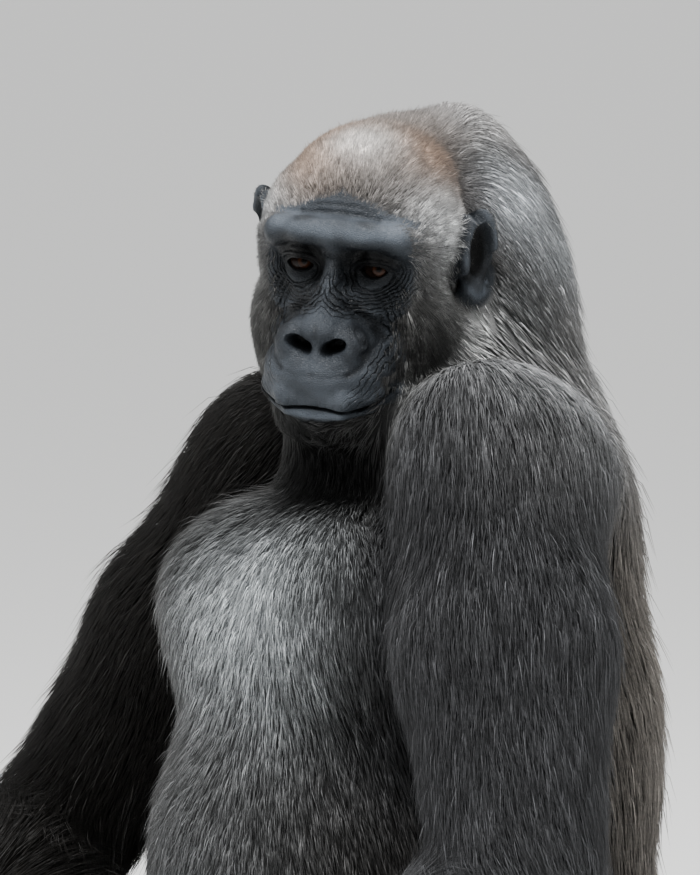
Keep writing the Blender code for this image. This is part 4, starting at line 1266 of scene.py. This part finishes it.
def lie_guides():
    """(from, to, heading, length, reach) of every guide to the lie of the coat, in the model's place."""
    found = []
    for side in (1, -1):
        for place, heading, length, reach in HEAD_LIE:
            at = HEAD_PLACE @ (on_side(place, side) * MM)
            found.append((at, at, HEAD_TURN @ on_side(heading, side), length, reach * MM))
        for place, heading, length, reach in BODY_LIE:
            at = STAND + on_side(place, side)
            found.append((at, at, on_side(heading, side), length, reach))
        (shoulder, elbow, wrist), (hip, knee, ankle) = limb_joints(side)
        found.append((shoulder, elbow, elbow - shoulder, 62, 0.075))
        found.append((elbow, wrist, (elbow - wrist) + Vector((0, 0.02, -0.10)), 54, 0.060))
        hand = STAND + (hand_place(side) @ Vector((0, -0.05, 0)))
        found.append((wrist.lerp(hand, 0.6), hand, hand - wrist, 13, 0.035))
        found.append((hip.lerp(knee, 0.3), knee, (knee - hip) + Vector((0, 0, -0.12)), 42, 0.080))
        found.append((knee, ankle, (ankle - knee) + Vector((0, 0, -0.05)), 34, 0.055))
        foot = STAND + (foot_place(side) @ Vector((0, -0.05, -0.02)))
        found.append((ankle.lerp(foot, 0.6), foot, foot - ankle, 11, 0.035))
    return found


LIE = lie_guides()


def lie_of(points):
    """The heading and the length of the hair that grows at each point: a mean of the guides near it."""
    core, fall = 0.05, 2.5
    heading, length, total = np.zeros_like(points), np.zeros(len(points)), np.full(len(points), 1e-12)
    for a, b, way, long, reach in LIE:
        gap = points - np.array(a)
        if (b - a).length > 0:
            gap = gap - share_along(points, a, b)[:, None] * np.array(b - a)
        weight = 1 / (core + (gap**2).sum(1) / reach**2) ** fall
        heading += weight[:, None] * np.array(way.normalized())
        length += weight * long * MM
        total += weight
    return heading / total[:, None], length / total


def unit(vectors):
    return vectors / np.maximum(np.linalg.norm(vectors, axis=1), 1e-9)[:, None]


def flattened_on(normals, headings):
    """The headings laid along the skin with these normals, each of length 1."""
    return unit(headings - normals * (headings * normals).sum(1)[:, None])


def tree_of(points, chosen):
    """A search tree of some of the points, by their numbers."""
    tree = KDTree(len(chosen))
    for index in chosen:
        tree.insert(points[index], int(index))
    tree.balance()
    return tree


skin_points, skin_normals = corners_of(skin.data), read(skin.data.vertices, "normal")
skin_tree = tree_of(skin_points, range(len(skin_points)))


def settle(points, height):
    """The points moved to a height above the skin nearest to them, and that skin's normals."""
    nearest = np.array([skin_tree.find(point)[1] for point in points])
    normal = skin_normals[nearest]
    above = ((points - skin_points[nearest]) * normal).sum(1)
    return points + normal * (height - above)[:, None], normal


# The parts that the coat is dealt out to: name, and the joints and radius of the limb under it.
head_ends = [HEAD_PLACE @ (Vector(place) * MM) for place in ((0, -40, -40), (0, 50, 30))]
REGIONS = [("coat_head", head_ends, 0.075)]
REGIONS.append(("coat_nape", [STAND + Vector((-0.02, 0.03, 0.77)), STAND + Vector((0, 0.03, 0.66))], 0.055))
REGIONS.append(("coat_trunk", [STAND + Vector((0, 0, 0.54)), STAND + Vector((0, 0, 0.15))], 0.150))
for side, word in ((1, "left"), (-1, "right")):
    (shoulder, elbow, wrist), (hip, knee, ankle) = limb_joints(side)
    tip = STAND + (hand_place(side) @ Vector((0, -0.15, 0)))
    top = shoulder + Vector((0.02 * side, 0, -0.02))
    REGIONS.append((f"coat_arm_{word}", [top, elbow, wrist, tip], 0.070))
    tip = STAND + (foot_place(side) @ Vector((0, -0.12, -0.03)))
    REGIONS.append((f"coat_leg_{word}", [hip.lerp(knee, 0.35), knee, ankle, tip], 0.075))


def region_of(points):
    """The number of the region whose limb is nearest to each point."""
    return np.argmin([path_gap(points, joints) - radius for name, joints, radius in REGIONS], axis=0)


def bareness(points):
    """Distance inside the coat's edge, in metres: negative where the skin is bare."""
    face = -face_depth(in_head(points)) * MM - 0.001
    return np.minimum.reduce([face, from_spot(points, BARE_SPOTS) - 0.006, (from_ear(points) - 0.0030) * 1.8])


# The first tufts stand 8 mm outside the coat's edge.
COAT_START = -0.008
skin.data.calc_loop_triangles()
faces = read(skin.data.loop_triangles, "vertices", 3, int)
face_corners = skin_points[faces]
face_sides = face_corners[:, 1:] - face_corners[:, :1]
face_areas = np.linalg.norm(np.cross(face_sides[:, 0], face_sides[:, 1]), axis=1) / 2
face_middles = face_corners.mean(1)
face_regions = region_of(face_middles)
face_edges = bareness(face_middles)


def grow_roots(chosen, count, seed):
    """Places and normals of roots, strewn evenly over some faces and thinner at the coat's edge."""
    chance = face_areas * chosen * soft_step(face_edges, COAT_START, 0.009)
    dice = np.random.default_rng(seed)
    picked = dice.choice(len(faces), count, p=chance / chance.sum())
    share = -np.log(np.maximum(dice.random((count, 3)), 1e-9))
    share /= share.sum(1)[:, None]
    places = (face_corners[picked] * share[:, :, None]).sum(1)
    normals = unit((skin_normals[faces[picked]] * share[:, :, None]).sum(1))
    return places, normals, dice


def unwrapped(points, joints):
    """Round and along a limb, both from 0 to 1: the skin's own unwrap, which the tufts' patches lie on."""
    a, b = np.array(joints[0]), np.array(joints[-1])
    axis = (b - a) / np.linalg.norm(b - a)
    side = np.cross(axis, (0, 1, 0) if abs(axis[1]) < 0.8 else (1, 0, 0))
    side /= np.linalg.norm(side)
    along = (points - a) @ axis
    round_ = np.arctan2((points - a) @ np.cross(axis, side), (points - a) @ side) / (2 * math.pi) + 0.5
    along = (along - along.min()) / (along.max() - along.min())
    return 0.01 + 0.98 * np.column_stack([round_, along])


def tuft_frames(places, normals, dice, spread):
    """Headings along the skin and lengths of the tufts rooted at some places."""
    heading, length = lie_of(places)
    heading = flattened_on(normals, heading)
    turn = dice.normal(0, spread, len(places))[:, None]
    heading = unit(heading + np.cross(normals, heading) * turn)
    edge = soft_step(bareness(places), COAT_START, 0.030)
    return heading, length * (0.32 + 0.68 * edge) * dice.uniform(0.7, 1.2, len(places))


def leaders_of(places, every):
    """The leading tuft nearest to each tuft."""
    tree = tree_of(places, range(0, len(places), every))
    return np.array([tree.find(place)[1] for place in places])


def spikes(name, roots, rings, tips, paint, patch, tones):
    """A mesh of closed spikes: a ring of three points, a tip, and a root that is a point or flat."""
    pointed = roots is not None
    parts = [rings, tips[:, None]] + ([roots[:, None]] if pointed else [])
    points = np.concatenate(parts, 1)
    count, size = points.shape[:2]
    walls = [(n, (n + 1) % 3, 3) for n in range(3)]
    walls += [((n + 1) % 3, n, 4) for n in range(3)] if pointed else [(0, 2, 1)]
    mesh = bpy.data.meshes.new(name)
    mesh.vertices.add(count * size)
    mesh.vertices.foreach_set("co", points.ravel())
    mesh.loops.add(count * len(walls) * 3)
    loops = (np.arange(count)[:, None] * size + np.ravel(walls)).ravel()
    mesh.loops.foreach_set("vertex_index", loops)
    mesh.polygons.add(count * len(walls))
    mesh.polygons.foreach_set("loop_start", np.arange(0, len(loops), 3))
    mesh.update(calc_edges=True)
    mesh.shade_smooth()
    tone = np.array([tones[1]] * 3 + [tones[2]] + [tones[0]] * pointed)
    put_colours(mesh, "hair_colour", (paint[:, None] * tone[None, :, None]).reshape(-1, 3))
    spot = np.array([(-1, 0), (1, 0), (0, 0.3), (0, 1), (0, -1)][:size])
    flat = (patch[:, None] + spot * 0.0015).reshape(-1, 2)
    layer = mesh.uv_layers.new(name="OFBake")
    layer.uv.foreach_set("vector", flat[loops].ravel())
    return mesh


def ring_round(at, side, up, wide):
    """Three points round a tuft, the flat side towards the skin."""
    half = side * (wide / 2)[:, None]
    return np.stack([at - half, at + half, at + up * (wide * 0.45)[:, None]], 1)


# How many tufts a clump has, on average, the share of them that are silvery, and how far along they bend.
CLUMP, SILVER_SHARE, BEND = 11, 0.045, 0.45


def grow_coat(name, chosen, joints, count, width, seed, spread=0.11, short=False, together=0.35,
              contrast=0.2):
    """Grows a piece of the coat: tufts of a width in metres, bent once, or straight where short."""
    places, normals, dice = grow_roots(chosen, count, seed)
    heading, length = tuft_frames(places, normals, dice, spread)
    wild = np.where(dice.random(count) < 0.06, 1.7, 1.0)
    rise = coat_depth(places) * dice.uniform(0.4, 1.0, count) * wild + 0.0008
    thick = width * dice.uniform(0.6, 1.25, count)
    lead = leaders_of(places, CLUMP)
    pull = dice.uniform(0, together, count)
    if short:
        roots = None
        rings = ring_round(places - normals * 0.0006, np.cross(heading, normals), normals, thick)
        tips = settle(places + heading * length[:, None], rise)[0]
        tones = [0.75, 0.75, 1.2]
    else:
        middles, middle_normals = settle(places + heading * (length * BEND)[:, None], rise * 0.62)
        onward = flattened_on(middle_normals, lie_of(middles)[0])
        sway = np.cross(normals, heading) * dice.normal(0, 0.09, count)[:, None]
        onward = unit(onward * 0.5 + heading + sway)
        tips = settle(middles + onward * (length * (1 - BEND))[:, None], rise)[0]
        middles = middles + (middles[lead] - middles) * (pull * 0.35)[:, None]
        roots = places - normals * 0.001
        rings = ring_round(middles, unit(np.cross(onward, middle_normals)), middle_normals, thick)
        tones = [0.60, 1.00, 1.15]
    tips = tips + (tips[lead] - tips) * pull[:, None]
    lowest, highest = np.array(cad_low) + 0.0005, np.array(cad_high) - 0.0005
    tips, rings = np.clip(tips, lowest, highest), np.clip(rings, lowest, highest)
    roots = None if short else np.clip(roots, lowest, highest)
    tone = np.exp(dice.normal(0, 0.2, count) + dice.normal(0, contrast, count)[lead])
    paint = coat_colour_and_painted_light(places) * tone[:, None]
    silver = (dice.random(count) < SILVER_SHARE)[:, None]
    paint = np.where(silver, paint * 1.6 + 0.018, paint)
    mesh = spikes(name, roots, rings, tips, paint, unwrapped(places, joints), tones)
    mesh.materials.append(coat_look)
    piece = add_object(mesh)
    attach(piece, "root")


coat_look, tree, shader = new_look("coat_look")
position = add_node(tree, "ShaderNodeTexCoord").outputs["Object"]
streak = noise_of(tree, position, 420, 2)
paint_with(tree, shader, stored_value(tree, "hair_colour", "Color"), ranged(tree, streak, 0.75, 1.3))
tree.links.new(ranged(tree, streak, 0.42, 0.65, 0, 1), shader.inputs["Roughness"])
shader.inputs["Specular IOR Level"].default_value = 0.24

# How many tufts the nape and limbs have, and their width in metres.
TUFTS = {"coat_nape": (26000, 0.0009), "coat_arm_left": (33000, 0.00075), "coat_arm_right": (26000, 0.0009),
         "coat_leg_left": (20000, 0.0013), "coat_leg_right": (20000, 0.0013)}
head_middles = in_head(face_middles)
for number, (name, joints, radius) in enumerate(REGIONS):
    chosen = face_regions == number
    if name == "coat_head":
        top = head_middles[:, 2] > 22
        grow_coat("coat_crown", chosen & top, joints, 48000, 0.00065, 3, 0.24, True, 0.5, 0.34)
        grow_coat("coat_cheeks", chosen & ~top, joints, 42000, 0.00070, 4, 0.17, True, 0.5, 0.34)
    elif name == "coat_trunk":
        front = face_middles[:, 1] < STAND[1] - 0.02
        grow_coat("coat_back", chosen & ~front, joints, 33000, 0.0013, 5)
        grow_coat("coat_front", chosen & front, joints, 32000, 0.0009, 6)
    else:
        count, width = TUFTS[name]
        grow_coat(name, chosen, joints, count, width, 10 + number)
